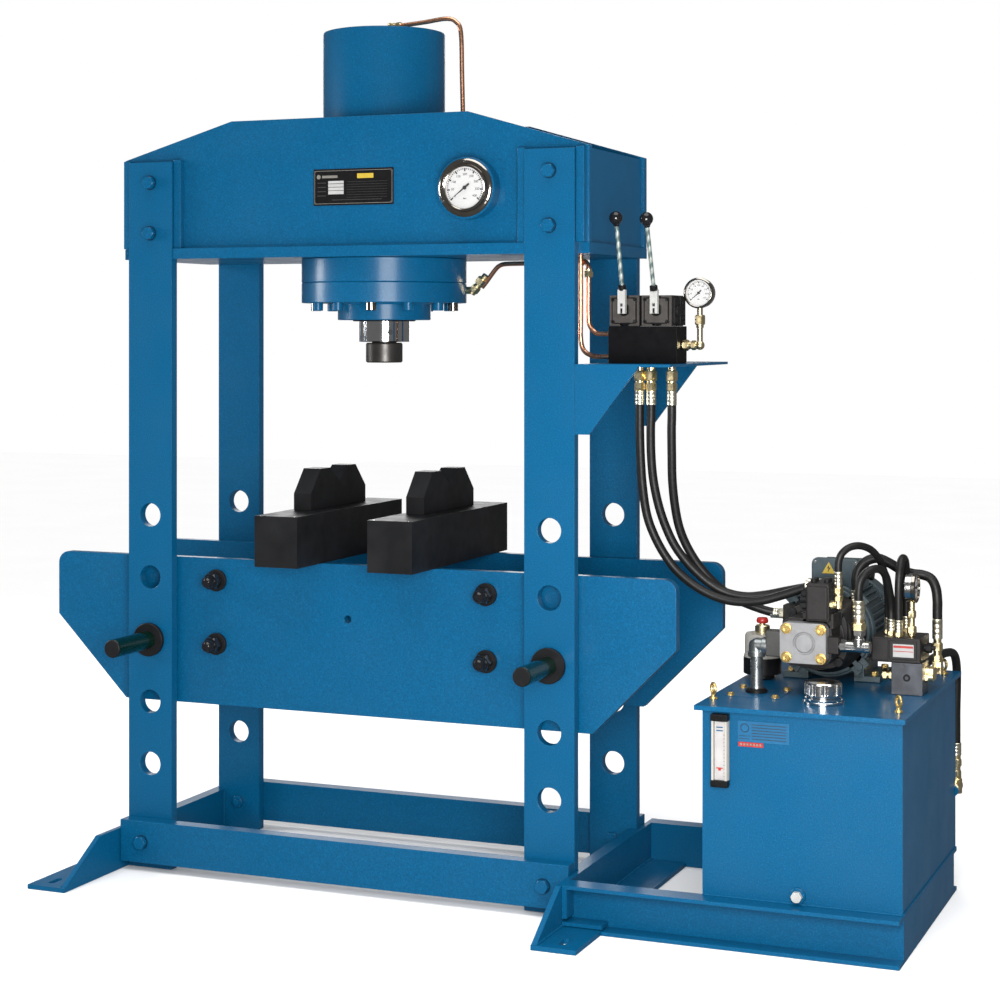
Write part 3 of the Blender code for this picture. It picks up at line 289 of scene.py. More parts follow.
def prism(outline, axis, low, high):
    """An outline across an axis, extruded along it: (y, z) points for X, (x, z) for Y and (x, y) for Z."""
    spots = {
        "X": lambda a, b: (low, a, b),
        "Y": lambda a, b: (a, low, b),
        "Z": lambda a, b: (a, b, low),
    }
    step = {"X": (1, 0, 0), "Y": (0, 1, 0), "Z": (0, 0, 1)}[axis]
    bm = bmesh.new()
    face = bm.faces.new([bm.verts.new(spots[axis](*point)) for point in outline])
    grown = bmesh.ops.extrude_face_region(bm, geom=[face])
    moved = [item for item in grown["geom"] if isinstance(item, bmesh.types.BMVert)]
    bmesh.ops.translate(bm, verts=moved, vec=Vector(step) * (high - low))
    return from_bmesh(bm)


def lathe(profile, centre, axis, segments=64):
    """A solid of revolution from (radius, distance) points along an axis through centre."""
    turn = {
        "X": Matrix.Rotation(math.pi / 2, 4, "Y"),
        "Y": Matrix.Rotation(-math.pi / 2, 4, "X"),
        "Z": Matrix.Identity(4),
    }[axis]
    bm = bmesh.new()
    rings = []
    for radius, distance in profile:
        if radius == 0:
            rings.append([bm.verts.new((0, 0, distance))])
            continue
        angles = [2 * math.pi * step / segments for step in range(segments)]
        rings.append([bm.verts.new((radius * math.cos(a), radius * math.sin(a), distance)) for a in angles])
    pairs = list(zip(rings, rings[1:]))
    if profile[0][0] > 0 and len(profile) > 2:
        pairs.append((rings[-1], rings[0]))
    for first, second in pairs:
        for step in range(segments):
            following = (step + 1) % segments
            corners = []
            for ring, index in ((first, step), (first, following), (second, following), (second, step)):
                vert = ring[index] if len(ring) > 1 else ring[0]
                if vert not in corners:
                    corners.append(vert)
            if len(corners) > 2:
                bm.faces.new(corners)
    bmesh.ops.transform(bm, matrix=Matrix.Translation(centre) @ turn, verts=bm.verts)
    return from_bmesh(bm)


def on_axis(centre, axis):
    """A centre with its coordinate along the axis set to zero."""
    start = list(centre)
    start["XYZ".index(axis)] = 0
    return start


def rod(centre, axis, radius, low, high, segments=32, chamfer=0):
    """A cylinder from low to high along an axis, with optional chamfered ends."""
    profile = [(0, low), (radius - chamfer, low), (radius, low + chamfer), (radius, high - chamfer)]
    profile += [(radius - chamfer, high), (0, high)]
    if not chamfer:
        profile = [(0, low), (radius, low), (radius, high), (0, high)]
    return lathe(profile, on_axis(centre, axis), axis, segments)


def hexagon(centre, axis, across, low, high):
    """A hexagonal bar with chamfered corners at both ends."""
    bar = rod(centre, axis, across / math.sqrt(3), low, high, 6)
    top = across / 2
    edge = (high - low) * 0.18
    envelope = lathe(
        [
            (0, low - 0.1), (top * 0.98, low - 0.1), (top * 1.17, low + edge), (top * 1.17, high - edge),
            (top * 0.98, high + 0.1), (0, high + 0.1),
        ],
        on_axis(centre, axis), axis, 32,
    )
    return combine(bar, envelope, "INTERSECT")


def ball(centre, radius, segments=32):
    """A sphere."""
    bm = bmesh.new()
    spot = Matrix.Translation(centre)
    bmesh.ops.create_uvsphere(bm, u_segments=segments, v_segments=segments // 2, radius=radius, matrix=spot)
    return from_bmesh(bm)


def ring(centre, axis, radius, thickness, segments=40):
    """A torus."""
    profile = []
    for step in range(10):
        angle = 2 * math.pi * step / 10
        profile.append((radius + thickness * math.cos(angle), thickness * math.sin(angle)))
    offset = centre["XYZ".index(axis)]
    profile = [(r, d + offset) for r, d in profile]
    return lathe(profile, on_axis(centre, axis), axis, segments)


def combine(solid, other, operation):
    """Apply one Boolean to a solid and remove the other one."""
    modifier = solid.modifiers.new("combine", "BOOLEAN")
    modifier.object = other
    modifier.operation = operation
    modifier.solver = "EXACT"
    graph = bpy.context.evaluated_depsgraph_get()
    mesh = bpy.data.meshes.new_from_object(solid.evaluated_get(graph))
    solid.modifiers.clear()
    solid.data = mesh
    bpy.data.objects.remove(other)
    return solid


def cut(solid, *tools):
    """Take tools away from a solid."""
    for tool in tools:
        combine(solid, tool, "DIFFERENCE")
    return solid


def merge(*solids):
    """Several solids as one mesh, without joining their surfaces."""
    bm = bmesh.new()
    for solid in solids:
        bm.from_mesh(solid.data)
        bpy.data.objects.remove(solid)
    mesh = bpy.data.meshes.new("merged")
    bm.to_mesh(mesh)
    bm.free()
    return new_object("merged", mesh)


def turned(solid, angle, axis, centre):
    """A solid turned about a point."""
    pivot = Matrix.Translation(centre)
    solid.data.transform(pivot @ Matrix.Rotation(math.radians(angle), 4, axis) @ pivot.inverted())
    return solid


def soften(obj, bevel, angle):
    """A small bevel, in millimetres, on edges sharper than an angle in degrees."""
    modifier = obj.modifiers.new("edges", "BEVEL")
    modifier.width = bevel * MM
    modifier.segments = 2
    modifier.limit_method = "ANGLE"
    modifier.angle_limit = math.radians(angle)
    modifier.use_clamp_overlap = True
    return modifier


def dress(obj, bevel, angle=30):
    """Smooth shading with crisp edges, and a small bevel."""
    for face in obj.data.polygons:
        face.use_smooth = True
    obj.data.set_sharp_from_angle(angle=math.radians(angle))
    if bevel:
        soften(obj, bevel, angle).harden_normals = True


def piece(solid, name, material, body="frame", stands_for=(), bevel=0, angle=30):
    """Turn a solid into metres, give it its material and let it ride on a body."""
    name = name.replace(" ", "_")
    solid.data.transform(Matrix.Translation(at(0, 0, 0)) @ Matrix.Scale(MM, 4))
    solid.name = name
    solid.data.name = name
    solid.data.materials.clear()
    solid.data.materials.append(material)
    dress(solid, bevel, angle)
    if stands_for:
        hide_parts(*stands_for)
    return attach(solid, body)


def repaint(node, material, bevel=0):
    """Keep a CAD node's shape and give it a better finish."""
    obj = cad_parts[node]
    for spot in obj.material_slots:
        spot.material = material
    if not obj.material_slots:
        obj.data.materials.append(material)
    if bevel:
        soften(obj, bevel, 40)


def text(words, name, size, place, facing, material, body="frame"):
    """A short generic word or number that faces -Y or +X."""
    name = name.replace(" ", "_")
    data = bpy.data.curves.new(name, "FONT")
    data.body = words
    data.size = size * MM
    data.extrude = 0.0001
    data.align_x = "CENTER"
    data.align_y = "CENTER"
    data.materials.append(material)
    obj = new_object(name, data)
    obj.location = at(*place)
    obj.rotation_euler = (math.pi / 2, 0, 0) if facing == "Y" else (math.pi / 2, 0, math.pi / 2)
    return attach(obj, body)


def bead(points, radius, name, material=WELD):
    """A weld bead: a lumpy line of paint-covered metal."""
    name = name.replace(" ", "_")
    data = bpy.data.curves.new(name, "CURVE")
    data.dimensions = "3D"
    data.bevel_depth = radius * MM
    data.bevel_resolution = 2
    data.use_fill_caps = True
    spline = data.splines.new("POLY")
    spots = []
    for a, b in zip(points, points[1:]):
        start, end = Vector(a), Vector(b)
        count = max(2, int((end - start).length / 7))
        spots += [start.lerp(end, step / count) for step in range(count)]
    spots.append(Vector(points[-1]))
    spline.points.add(len(spots) - 1)
    for point, spot in zip(spline.points, spots):
        point.co = (*at(*spot), 1)
        point.radius = random.uniform(0.8, 1.15)
    data.materials.append(material)
    obj = new_object(name, data)
    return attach(obj, "frame")


# ---------------------------------------------------------------- camera, light and floor
def add_camera():
    """The camera at the photograph's viewing angle."""
    data = bpy.data.cameras.new("camera")
    data.lens = 74.63
    data.sensor_width = 36
    data.shift_y = -0.171
    data.clip_end = 100
    camera = new_object("camera", data)
    camera.location = at(2167.0, -4306.1, 1299.5)
    camera.rotation_euler = (math.pi / 2, 0, math.radians(22.34))
    bpy.context.scene.camera = camera


def add_light(name, place, target, size, energy):
    """A square soft light aimed at a point."""
    data = bpy.data.lights.new(name, "AREA")
    data.size = size
    data.energy = energy
    light = new_object(name, data)
    light.location = at(*place)
    light.rotation_euler = (at(*target) - at(*place)).to_track_quat("-Z", "Y").to_euler()


def add_studio():
    """A pale floor, an even sky and soft lights."""
    floor = block(-14000, 14000, -14000, 14000, -12, -1)
    floor.data.transform(Matrix.Translation(at(0, 0, 0)) @ Matrix.Scale(MM, 4))
    floor.name = "studio_floor"
    pale = surface("studio floor", (0.90, 0.90, 0.90), 0.9, 0.0, 0.01, 2, Specular_IOR_Level=0.0)
    floor.data.materials.append(pale)
    floor.visible_glossy = False
    world = bpy.data.worlds.new("studio")
    bpy.context.scene.world = world
    world.use_nodes = True
    tree = world.node_tree
    sky = tree.nodes["Background"]
    sky.inputs["Color"].default_value = (1, 1, 1, 1)
    path = tree.nodes.new("ShaderNodeLightPath")
    backdrop = tree.nodes.new("ShaderNodeMapRange")
    backdrop.inputs["To Min"].default_value = 0.38
    backdrop.inputs["To Max"].default_value = 1.0
    sheen = tree.nodes.new("ShaderNodeMapRange")
    sheen.inputs["To Max"].default_value = 0.13
    tree.links.new(path.outputs["Is Camera Ray"], backdrop.inputs["Value"])
    tree.links.new(path.outputs["Is Glossy Ray"], sheen.inputs["Value"])
    tree.links.new(backdrop.outputs["Result"], sheen.inputs["To Min"])
    tree.links.new(sheen.outputs["Result"], sky.inputs["Strength"])
    add_light("key", (1550, -2400, 1050), (600, 200, 800), 1.2, 105)
    add_light("left strip", (-3000, -700, 1800), (0, 200, 1400), 0.9, 60)
    add_light("back", (-1800, 4200, 2400), (200, 200, 900), 2.5, 55)
    overhead = bpy.data.lights.new("overhead", "SUN")
    overhead.energy = 2.3
    overhead.angle = math.radians(60)
    lamp = new_object("overhead", overhead)
    lamp.rotation_euler = (math.radians(14), math.radians(6), 0)
    bpy.context.scene.view_settings.view_transform = "Standard"


# ---------------------------------------------------------------- hoses and pipes
def smooth(points, spacing):
    """Evenly spaced points on a Catmull-Rom curve through a route's points."""
    spots = [Vector(point) for point in points]
    ends = [spots[0] * 2 - spots[1], *spots, spots[-1] * 2 - spots[-2]]
    dense = []
    for index in range(1, len(ends) - 2):
        before, here, ahead, after = ends[index - 1:index + 3]
        for step in range(24):
            t = step / 24
            dense.append(
                0.5 * (
                    2 * here + (ahead - before) * t
                    + (2 * before - 5 * here + 4 * ahead - after) * t * t
                    + (3 * here - before - 3 * ahead + after) * t ** 3
                )
            )
    dense.append(spots[-1])
    total = sum((b - a).length for a, b in zip(dense, dense[1:]))
    count = max(6, round(total / spacing))
    result = [dense[0]]
    walked = 0
    for a, b in zip(dense, dense[1:]):
        length = (b - a).length
        while len(result) < count and walked + length >= total * len(result) / count:
            result.append(a.lerp(b, (total * len(result) / count - walked) / length))
        walked += length
    result.append(dense[-1])
    return result, total


def tube(name, route, radius, material, node, hose=True):
    """A hose or pipe along a route; a hose is declared as a cord."""
    name = name.replace(" ", "_")
    data = bpy.data.curves.new(name, "CURVE")
    data.dimensions = "3D"
    data.bevel_depth = radius * MM
    data.bevel_resolution = 6
    data.use_fill_caps = True
    path, total = smooth(route, 5)
    spline = data.splines.new("POLY")
    spline.use_smooth = True
    spline.points.add(len(path) - 1)
    for point, spot in zip(spline.points, path):
        point.co = (*at(*spot), 1)
    data.materials.append(material)
    obj = new_object(name, data)
    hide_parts(node)
    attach(obj, "frame")
    if hose:
        print("cord", name, round(total), "mm")
    return obj


ROUTE_TOP = [
    (47, 228, 2031), (110, 228, 2036), (165, 228, 2041), (190, 228, 2032),
    (203, 228, 2005), (206, 228, 1900), (210, 228, 1750), (216, 228, 1600),
    (228, 228, 1540), (262, 218, 1520), (380, 186, 1520), (488, 168, 1522),
    (513, 165, 1522), (526, 165, 1513), (530, 165, 1497), (530, 165, 1465), (530, 165, 1420),
    (530, 165, 1330), (530, 165, 1278),
    (538, 165, 1250), (560, 164, 1238), (590, 163, 1236.5), (612.2, 163, 1236.5),
]
ROUTE_SIDE = [
    (226, 304, 1400), (238, 302, 1413), (262, 296, 1440), (276, 292, 1451), (296, 286, 1455),
    (350, 264, 1455), (450, 217, 1455), (528, 179, 1455), (543, 170, 1451), (549, 165, 1438),
    (549, 165, 1400), (549, 165, 1330), (553, 165, 1306), (567, 165, 1291), (588, 165, 1288.5),
    (612.2, 165, 1288.5),
]
ROUTE_HOSE_LEFT = [
    (671, 170, 1127), (671, 170, 1100), (671, 170, 1070), (672, 172, 1013), (676, 174, 945),
    (685, 177, 880), (702, 179, 832), (727, 182, 787), (758, 185, 749), (801, 188, 717),
    (847, 192, 696), (893, 195, 688), (944, 198, 692), (992, 202, 706), (1043, 205, 724),
    (1077, 206, 731),
]
ROUTE_HOSE_MIDDLE = [
    (698, 170, 1127), (698, 170, 1100), (697, 170, 1071), (697, 173, 1014), (701, 177, 957),
    (712, 181, 900), (728, 186, 850), (750, 190, 805), (782, 196, 764), (821, 204, 728),
    (860, 212, 706), (905, 217, 698), (950, 223, 703), (998, 227, 714), (1042, 229, 724),
    (1077, 229, 734),
]
ROUTE_HOSE_RIGHT = [
    (747, 170, 1127), (747, 170, 1100), (746, 171, 1072), (745, 176, 1015), (744, 183, 958),
    (747, 192, 901), (755, 201, 849), (771, 211, 804), (798, 222, 758), (836, 233, 716),
    (880, 244, 686), (929, 254, 667), (960, 261, 659), (981, 262, 658),
]
ROUTE_PILOT = [
    (1142, 110, 776), (1142, 110, 792), (1147, 113, 812), (1162, 124, 827), (1182, 142, 830),
    (1201, 168, 819), (1213, 196, 795), (1219, 222, 762), (1221, 240, 722), (1221, 248, 692),
    (1221, 248, 678), (1221, 248, 664),
]
ROUTE_DELIVERY = [
    (1186, 110, 716), (1186, 110, 734), (1189, 113, 756), (1199, 122, 773), (1212, 138, 781),
    (1223, 160, 778), (1228, 188, 762), (1230, 210, 732), (1232, 223, 704), (1232, 228, 684),
    (1232, 228, 664),
]
ROUTE_LOOP = [
    (1251, 214, 664), (1251, 214, 690), (1251, 215, 735), (1252, 221, 770), (1252, 236, 790),
    (1253, 254, 795), (1254, 270, 786), (1254, 281, 762), (1254, 285, 730), (1254, 285, 692),
    (1254, 285, 664),
]
ROUTE_DRAIN = [
    (1142, 286, 716), (1142, 286, 745), (1149, 289, 766), (1164, 296, 781), (1186, 302, 787),
    (1208, 310, 778), (1232, 320, 763), (1256, 332, 753), (1280, 338, 750), (1299, 337, 742),
    (1310, 333, 722), (1314, 330, 695), (1314, 330, 675), (1314, 330, 655),
]
ROUTE_RETURN = [
    (1284, 292, 548), (1284, 310, 548), (1285, 350, 551), (1290, 430, 553), (1300, 500, 553),
    (1308, 545, 548), (1312, 566, 534), (1313, 579, 505), (1313, 579, 460), (1312, 578, 410),
    (1312, 578, 370), (1312, 578, 350), (1312, 578, 334),
]


def add_tubes():
    """Every hose and pipe."""
    tube("pipe from barrel", ROUTE_TOP, 5.5, COPPER, "pipe_barrel", hose=False)
    tube("pipe from gland", ROUTE_SIDE, 5.5, COPPER, "pipe_gland", hose=False)
    hoses = (
        ("left", ROUTE_HOSE_LEFT, 10), ("middle", ROUTE_HOSE_MIDDLE, 10), ("right", ROUTE_HOSE_RIGHT, 10),
        ("pilot", ROUTE_PILOT, 8), ("delivery", ROUTE_DELIVERY, 9), ("loop", ROUTE_LOOP, 9),
        ("drain", ROUTE_DRAIN, 11), ("return", ROUTE_RETURN, 10),
    )
    for name, route, radius in hoses:
        tube(f"hose {name}", route, radius, RUBBER, f"hose_{name}")


def fitting(name, centre, axis, parts, material=BRASS, body="frame", stands_for=()):
    """A row of hexagons ("hex"), plain rings ("round") and crimped sleeves ("crimp") along an axis."""
    solids = []
    for kind, size, low, high in parts:
        low, high = min(low, high), max(low, high)
        if kind == "hex":
            solids.append(hexagon(centre, axis, size, low, high))
        elif kind == "round":
            solids.append(rod(centre, axis, size, low, high, 28, min(0.8, (high - low) / 4)))
        else:
            profile = [(0, low), (size - 1, low), (size, low + 1)]
            for step in range(1, CRIMP_BANDS):
                groove = low + (high - low) * step / CRIMP_BANDS
                profile += [(size, groove - 1.2), (size - 0.4, groove - 0.5), (size - 0.4, groove + 0.5)]
                profile += [(size, groove + 1.2)]
            profile += [(size, high - 1), (size - 1, high), (0, high)]
            solids.append(lathe(profile, on_axis(centre, axis), axis, 32))
    return piece(merge(*solids), name, material, body, stands_for)


# ---------------------------------------------------------------- frame
def bolt_head(name, x, y, z, outward, across=28, proud=14):
    """A hexagon bolt head on a washer, on a face across Y; the washer wears the shade blue, a dark ring of
    painted shade round the head.
    """
    washer = rod((x, 0, z), "Y", across * 0.62, *sorted((y, y + outward * 2.4)), 32, 0.5)
    head = hexagon((x, 0, z), "Y", across, *sorted((y + outward * 2, y + outward * proud)))
    piece(washer, f"{name} washer", SHADOW_BLUE)
    piece(head, name, BLUE)


def add_legs():
    """Four flat bars with pin holes and hexagon bolts."""
    for place, y0, outward in (("front", 0, -1), ("rear", 431, 1)):
        for hand, side in (("left", -1), ("right", 1)):
            x = side * LEG_CENTRE
            y1 = y0 + 25
            leg = block(x - 60, x + 60, y0, y1, 0, LEG_HEIGHT)
            for step in range(5):
                cut(leg, rod((x, 0, 251 + 150 * step), "Y", 28, y0 - 5, y1 + 5, 56))
            piece(leg, f"leg {place} {hand}", BLUE, stands_for=[f"leg_{place}_{hand}"], bevel=1.4)
            face = y0 if outward < 0 else y1
            for height in (1530, 1652):
                bolt_head(f"bolt {place} {hand} {height}", x, face, height, outward)
    nuts = []
    for side in (-1, 1):
        for face, inward in ((25, 1), (431, -1)):
            x = side * LEG_CENTRE
            nuts.append(hexagon((x, 0, BASE_BOLT_Z), "Y", 28, *sorted((face, face + inward * 12))))
            ends = sorted((face + inward * 10, face + inward * 18))
            nuts.append(rod((x, 0, BASE_BOLT_Z), "Y", 8, *ends, 28, 1))
    piece(merge(*nuts), "base nuts", BLUE)
    for place, y0, y1, outward in (("front", -38, -0.3, -1), ("rear", 456.3, 494, 1)):
        bar = block(-575.5, 575.5, y0, y1, 20, 120)
        piece(bar, f"base bar {place}", BLUE, stands_for=[f"base_bar_{place}"], bevel=1.6)
        face = y0 if outward < 0 else y1
        for side in (-1, 1):
            bolt_head(f"base bolt {place} {side}", side * LEG_CENTRE, face, BASE_BOLT_Z, outward)


def add_rails():
    """The side rails keep their shape; weld beads follow their joints."""
    for hand, side in (("left", -1), ("right", 1)):
        repaint(f"side_rail_{hand}", BLUE, 1.2)
        x = side * 589.5
        bead([(x, -262, 11), (x, 545, 11)], 3, f"rail bead {hand}")
        x = side * 558
        bead([(x, 429, 2), (x, 429, 96)], 2.6, f"tie bead {hand} rear")
        bead([(x, 27, 2), (x, 27, 96)], 2.6, f"tie bead {hand} front")


# ---------------------------------------------------------------- head and cylinder
def head_outline(bottom):
    """The web's six-sided outline."""
    return [
        (-HEAD_END, bottom), (HEAD_END, bottom), (HEAD_END, 1709), (306.5, 1795), (-306.5, 1795),
        (-HEAD_END, 1709),
    ]


def add_head():
    """The head's webs, key bars, floor plate and welds."""
    for place, y0, outward in (("front", 25.3, -1), ("rear", 410.7, 1)):
        web = prism(head_outline(1493.3), "Y", y0, y0 + 20)
        face = y0 if outward < 0 else y0 + 20
        if outward < 0:
            cut(web, rod((GAUGE_X, 0, GAUGE_Z), "Y", 56, 0, 80, 64))
        piece(web, f"head web {place}", BLUE, stands_for=[f"head_web_{place}"], bevel=1.4)
        for side in (-1, 1):
            for near in (436, 576):
                span = sorted((side * near, side * (near + 19)))
                ends = sorted((face, face + outward * 17))
                key = block(*span, *ends, 1493.3, 1706)
                piece(key, f"key bar {place} {side} {near}", BLUE, bevel=1.2)
        line = face + outward * 1.5
        bead([(-435, line, 1494), (435, line, 1494)], 3.2, f"floor bead {place}")
    collar = lathe(
        [(57, -11.5), (68.5, -11.5), (70, -10), (70, 25.3), (57, 25.3)], (GAUGE_X, 0, GAUGE_Z), "Y",
    )
    piece(collar, "gauge collar", BLUE)
    repaint("head_floor", BLUE, 1.2)


def add_nameplate():
    """A black plate with a silver border and a grey field, with no wording."""
    piece(block(-85, 122, 23.4, 25.4, 1588, 1673), "nameplate", PLASTIC, bevel=0.5)
    bars = [
        block(-82, 119, 22.9, 23.6, 1668.2, 1669.2), block(-82, 119, 22.9, 23.6, 1591.8, 1592.8),
        block(-82, -81, 22.9, 23.6, 1592, 1669), block(118, 119, 22.9, 23.6, 1592, 1669),
    ]
    piece(merge(*bars), "nameplate border", SILVER)
    piece(block(-46, -6, 22.8, 23.6, 1614, 1645), "nameplate field", LABEL)
    lines = [block(-46, -6, 22.5, 23, z, z + 1) for z in (1622, 1630, 1638)]
    piece(merge(*lines), "nameplate lines", PLASTIC)
    rows = [block(-74, -52, 22.8, 23.6, z, z + 1.6) for z in (1640, 1630, 1620, 1610)]
    rows += [block(2, 106, 22.8, 23.6, z, z + 0.7) for z in range(1606, 1648, 6)]
    rows.append(block(-36, 92, 22.8, 23.6, 1600, 1601.4))
    piece(merge(*rows), "nameplate marks", GREY)
    piece(block(29, 71, 22.8, 23.6, 1650, 1661), "nameplate stripe", YELLOW)
    bar = block(-62, -22, 22.8, 23.6, 1652, 1658)
    piece(merge(bar, rod((-71, 0, 1655), "Y", 5, 22.8, 23.6)), "nameplate emblem", SILVER)
    rivets = [rod((x, 0, z), "Y", 1.8, 22.4, 23.6, 16) for x in (-79, 116) for z in (1594.5, 1666.5)]
    piece(merge(*rivets), "nameplate rivets", STEEL)


def add_cylinder():
    """Barrel, flanges with socket screws, gland, ram and nose."""
    centre = (1, MIDDLE_Y, 0)
    barrel = lathe(
        [
            (0, 1975), (110, 1975), (110, 1410.4), (197.8, 1410.4), (199.3, 1412), (199.3, 1466),
            (197.8, 1467.6), (147.5, 1467.6), (147.5, 2009), (146, 2012), (143.5, 2013), (0, 2013),
        ],
        centre, "Z", 128,
    )
    piece(barrel, "cylinder barrel", BLUE, stands_for=["cylinder_barrel"])
    piece(ring((1, MIDDLE_Y, 1495.5), "Z", 149, 3, 96), "barrel weld", WELD)
    gland = lathe(
        [
            (61.9, 1321), (110.4, 1321), (112.4, 1323), (112.4, 1358), (116, 1362), (197.8, 1362),
            (199.3, 1363.5), (199.3, 1408.4), (197.8, 1410), (61.9, 1410),
        ],
        centre, "Z", 128,
    )
    piece(gland, "cylinder gland", BLUE, stands_for=["cylinder_gland"])
    wiper = lathe([(62, 1318), (74, 1318), (76, 1320), (76, 1322), (62, 1322)], centre, "Z", 64)
    piece(wiper, "rod wiper", PLASTIC)
    heads = []
    for step in range(12):
        angle = 2 * math.pi * (step + 0.5) / 12
        x = 1 + 168 * math.cos(angle)
        y = MIDDLE_Y + 168 * math.sin(angle)
        head = rod((x, y, 0), "Z", 12.5, 1343, 1363, 32, 1.2)
        heads.append(cut(head, rod((x, y, 0), "Z", 6.5, 1330, 1352, 6)))
    piece(merge(*heads[::3]), "flange screws bare", BEZEL)
    piece(merge(*[head for step, head in enumerate(heads) if step % 3]), "flange screws", BLUE)
    plug = merge(
        rod((21, MIDDLE_Y, 0), "Z", 22, 2012, 2020, 40, 1), hexagon((21, MIDDLE_Y, 0), "Z", 27, 2019, 2030),
        rod((21, MIDDLE_Y, 0), "Z", 10, 2028, 2038, 28, 1),
    )
    piece(plug, "barrel port", BRASS)
    fitting("barrel elbow", (0, MIDDLE_Y, 2030), "X", [("round", 8, 20, 34), ("hex", 17, 33, 47)])
    ram = lathe(
        [
            (0, 1293), (31, 1293), (31, 1268.5), (59.3, 1268.5), (61.3, 1270.5), (61.3, 1885),
            (109.1, 1885), (109.1, 1965), (0, 1965),
        ],
        centre, "Z", 96,
    )
    piece(ram, "ram rod", CHROME, "ram_body", ["ram"])
    screw = turned(rod((1, 0, 1292), "Y", 6.5, 228 - 61.8, 228 - 58, 28, 0.5), 39, "Z", (1, 228, 1292))
    piece(screw, "ram set screw", INK, "ram_body")
    nose = lathe(
        [
            (0, 1218.5), (41.3, 1218.5), (44.3, 1221.5), (44.3, 1263), (42, 1266.5), (30, 1266.5),
            (30, 1290.5), (0, 1290.5),
        ],
        centre, "Z", 80,
    )
    piece(nose, "ram nose", NOSE, "ram_body", ["ram_nose"])


# ---------------------------------------------------------------- gauges
def dial_marks(centre, axis, radius, plane, name, numbers):
    """Ticks round three quarters of a dial, and its numbers."""
    x, y, z = centre
    ticks = []
    for step in range(41):
        turn = math.radians(52 + 256 * step / 40)
        major = step % 5 == 0
        outer = radius
        inner = radius * (0.84 if major else 0.92)
        width = radius * (0.036 if major else 0.018)
        along = Vector((-math.sin(turn), -math.cos(turn)))
        across = Vector((-along.y, along.x)) * width
        corners = [
            along * inner - across, along * outer - across, along * outer + across, along * inner + across,
        ]
        if axis == "Y":
            ticks.append(prism([(x + p.x, z + p.y) for p in corners], "Y", plane - 0.3, plane + 0.2))
        else:
            ticks.append(prism([(y + p.x, z + p.y) for p in corners], "X", plane - 0.2, plane + 0.3))
    piece(merge(*ticks), f"{name} ticks", INK)
    for step, number in enumerate(numbers):
        turn = math.radians(52 + 256 * step / (len(numbers) - 1))
        across = -math.sin(turn) * radius * 0.68
        up = -math.cos(turn) * radius * 0.68
        if axis == "Y":
            place = (x + across, plane - 0.15, z + up)
        else:
            place = (plane + 0.15, y + across, z + up)
        text(number, f"{name} number {number}", radius * 0.17, place, axis, INK)


def add_gauge(name, node, centre, axis, radius, depth, numbers, flange=0, case=STEEL):
    """A round case with a bright rim, a white dial and its marks."""
    rim = centre["XYZ".index(axis)]
    back = 1 if axis == "Y" else -1
    start = on_axis(centre, axis)
    dial = rim + back * 5.6
    if flange:
        bezel = lathe(
            [
                (radius - 6, rim + back * 6), (radius - 5.4, rim + back * 1.2), (radius - 3, rim),
                (radius, rim + back * 0.8), (radius + 1.5, rim + back * 3.4), (radius + 3, rim + back * 2.8),
                (radius + 7, rim + back * 3.2), (radius + flange - 2, rim + back * 5),
                (radius + flange, rim + back * 7), (radius + flange, rim + back * 9),
                (radius - 1, rim + back * 9),
            ],
            start, axis, 80,
        )
    else:
        bezel = lathe(
            [
                (radius - 5.5, rim + back * 6), (radius - 5, rim + back * 0.8), (radius - 3.6, rim),
                (radius - 1.6, rim + back * 0.8), (radius, rim + back * 2.6), (radius, rim + back * 9),
                (radius - 1, rim + back * 10),
            ],
            start, axis, 64,
        )
    piece(bezel, f"{name} bezel", BEZEL, stands_for=[node])
    body = lathe(
        [
            (0, rim + back * 7), (radius - 2, rim + back * 7), (radius - 2, rim + back * (depth - 3)),
            (radius - 5, rim + back * depth), (0, rim + back * depth),
        ],
        start, axis, 64,
    )
    piece(body, f"{name} case", case)
    face = lathe([(0, dial), (radius - 5.2, dial), (radius - 5.2, dial + back * 1.6), (0, dial + back * 1.6)],
                 start, axis, 64)
    piece(face, f"{name} dial", DIAL)
    dial_marks(centre, axis, radius - 8.5, dial, name, numbers)
    repaint(f"{node}_needle", INK)
    hub = rod(tuple(start), axis, radius * 0.085, *sorted((dial - back * 0.6, dial - back * 3.2)), 28, 0.4)
    piece(hub, f"{name} hub", INK)


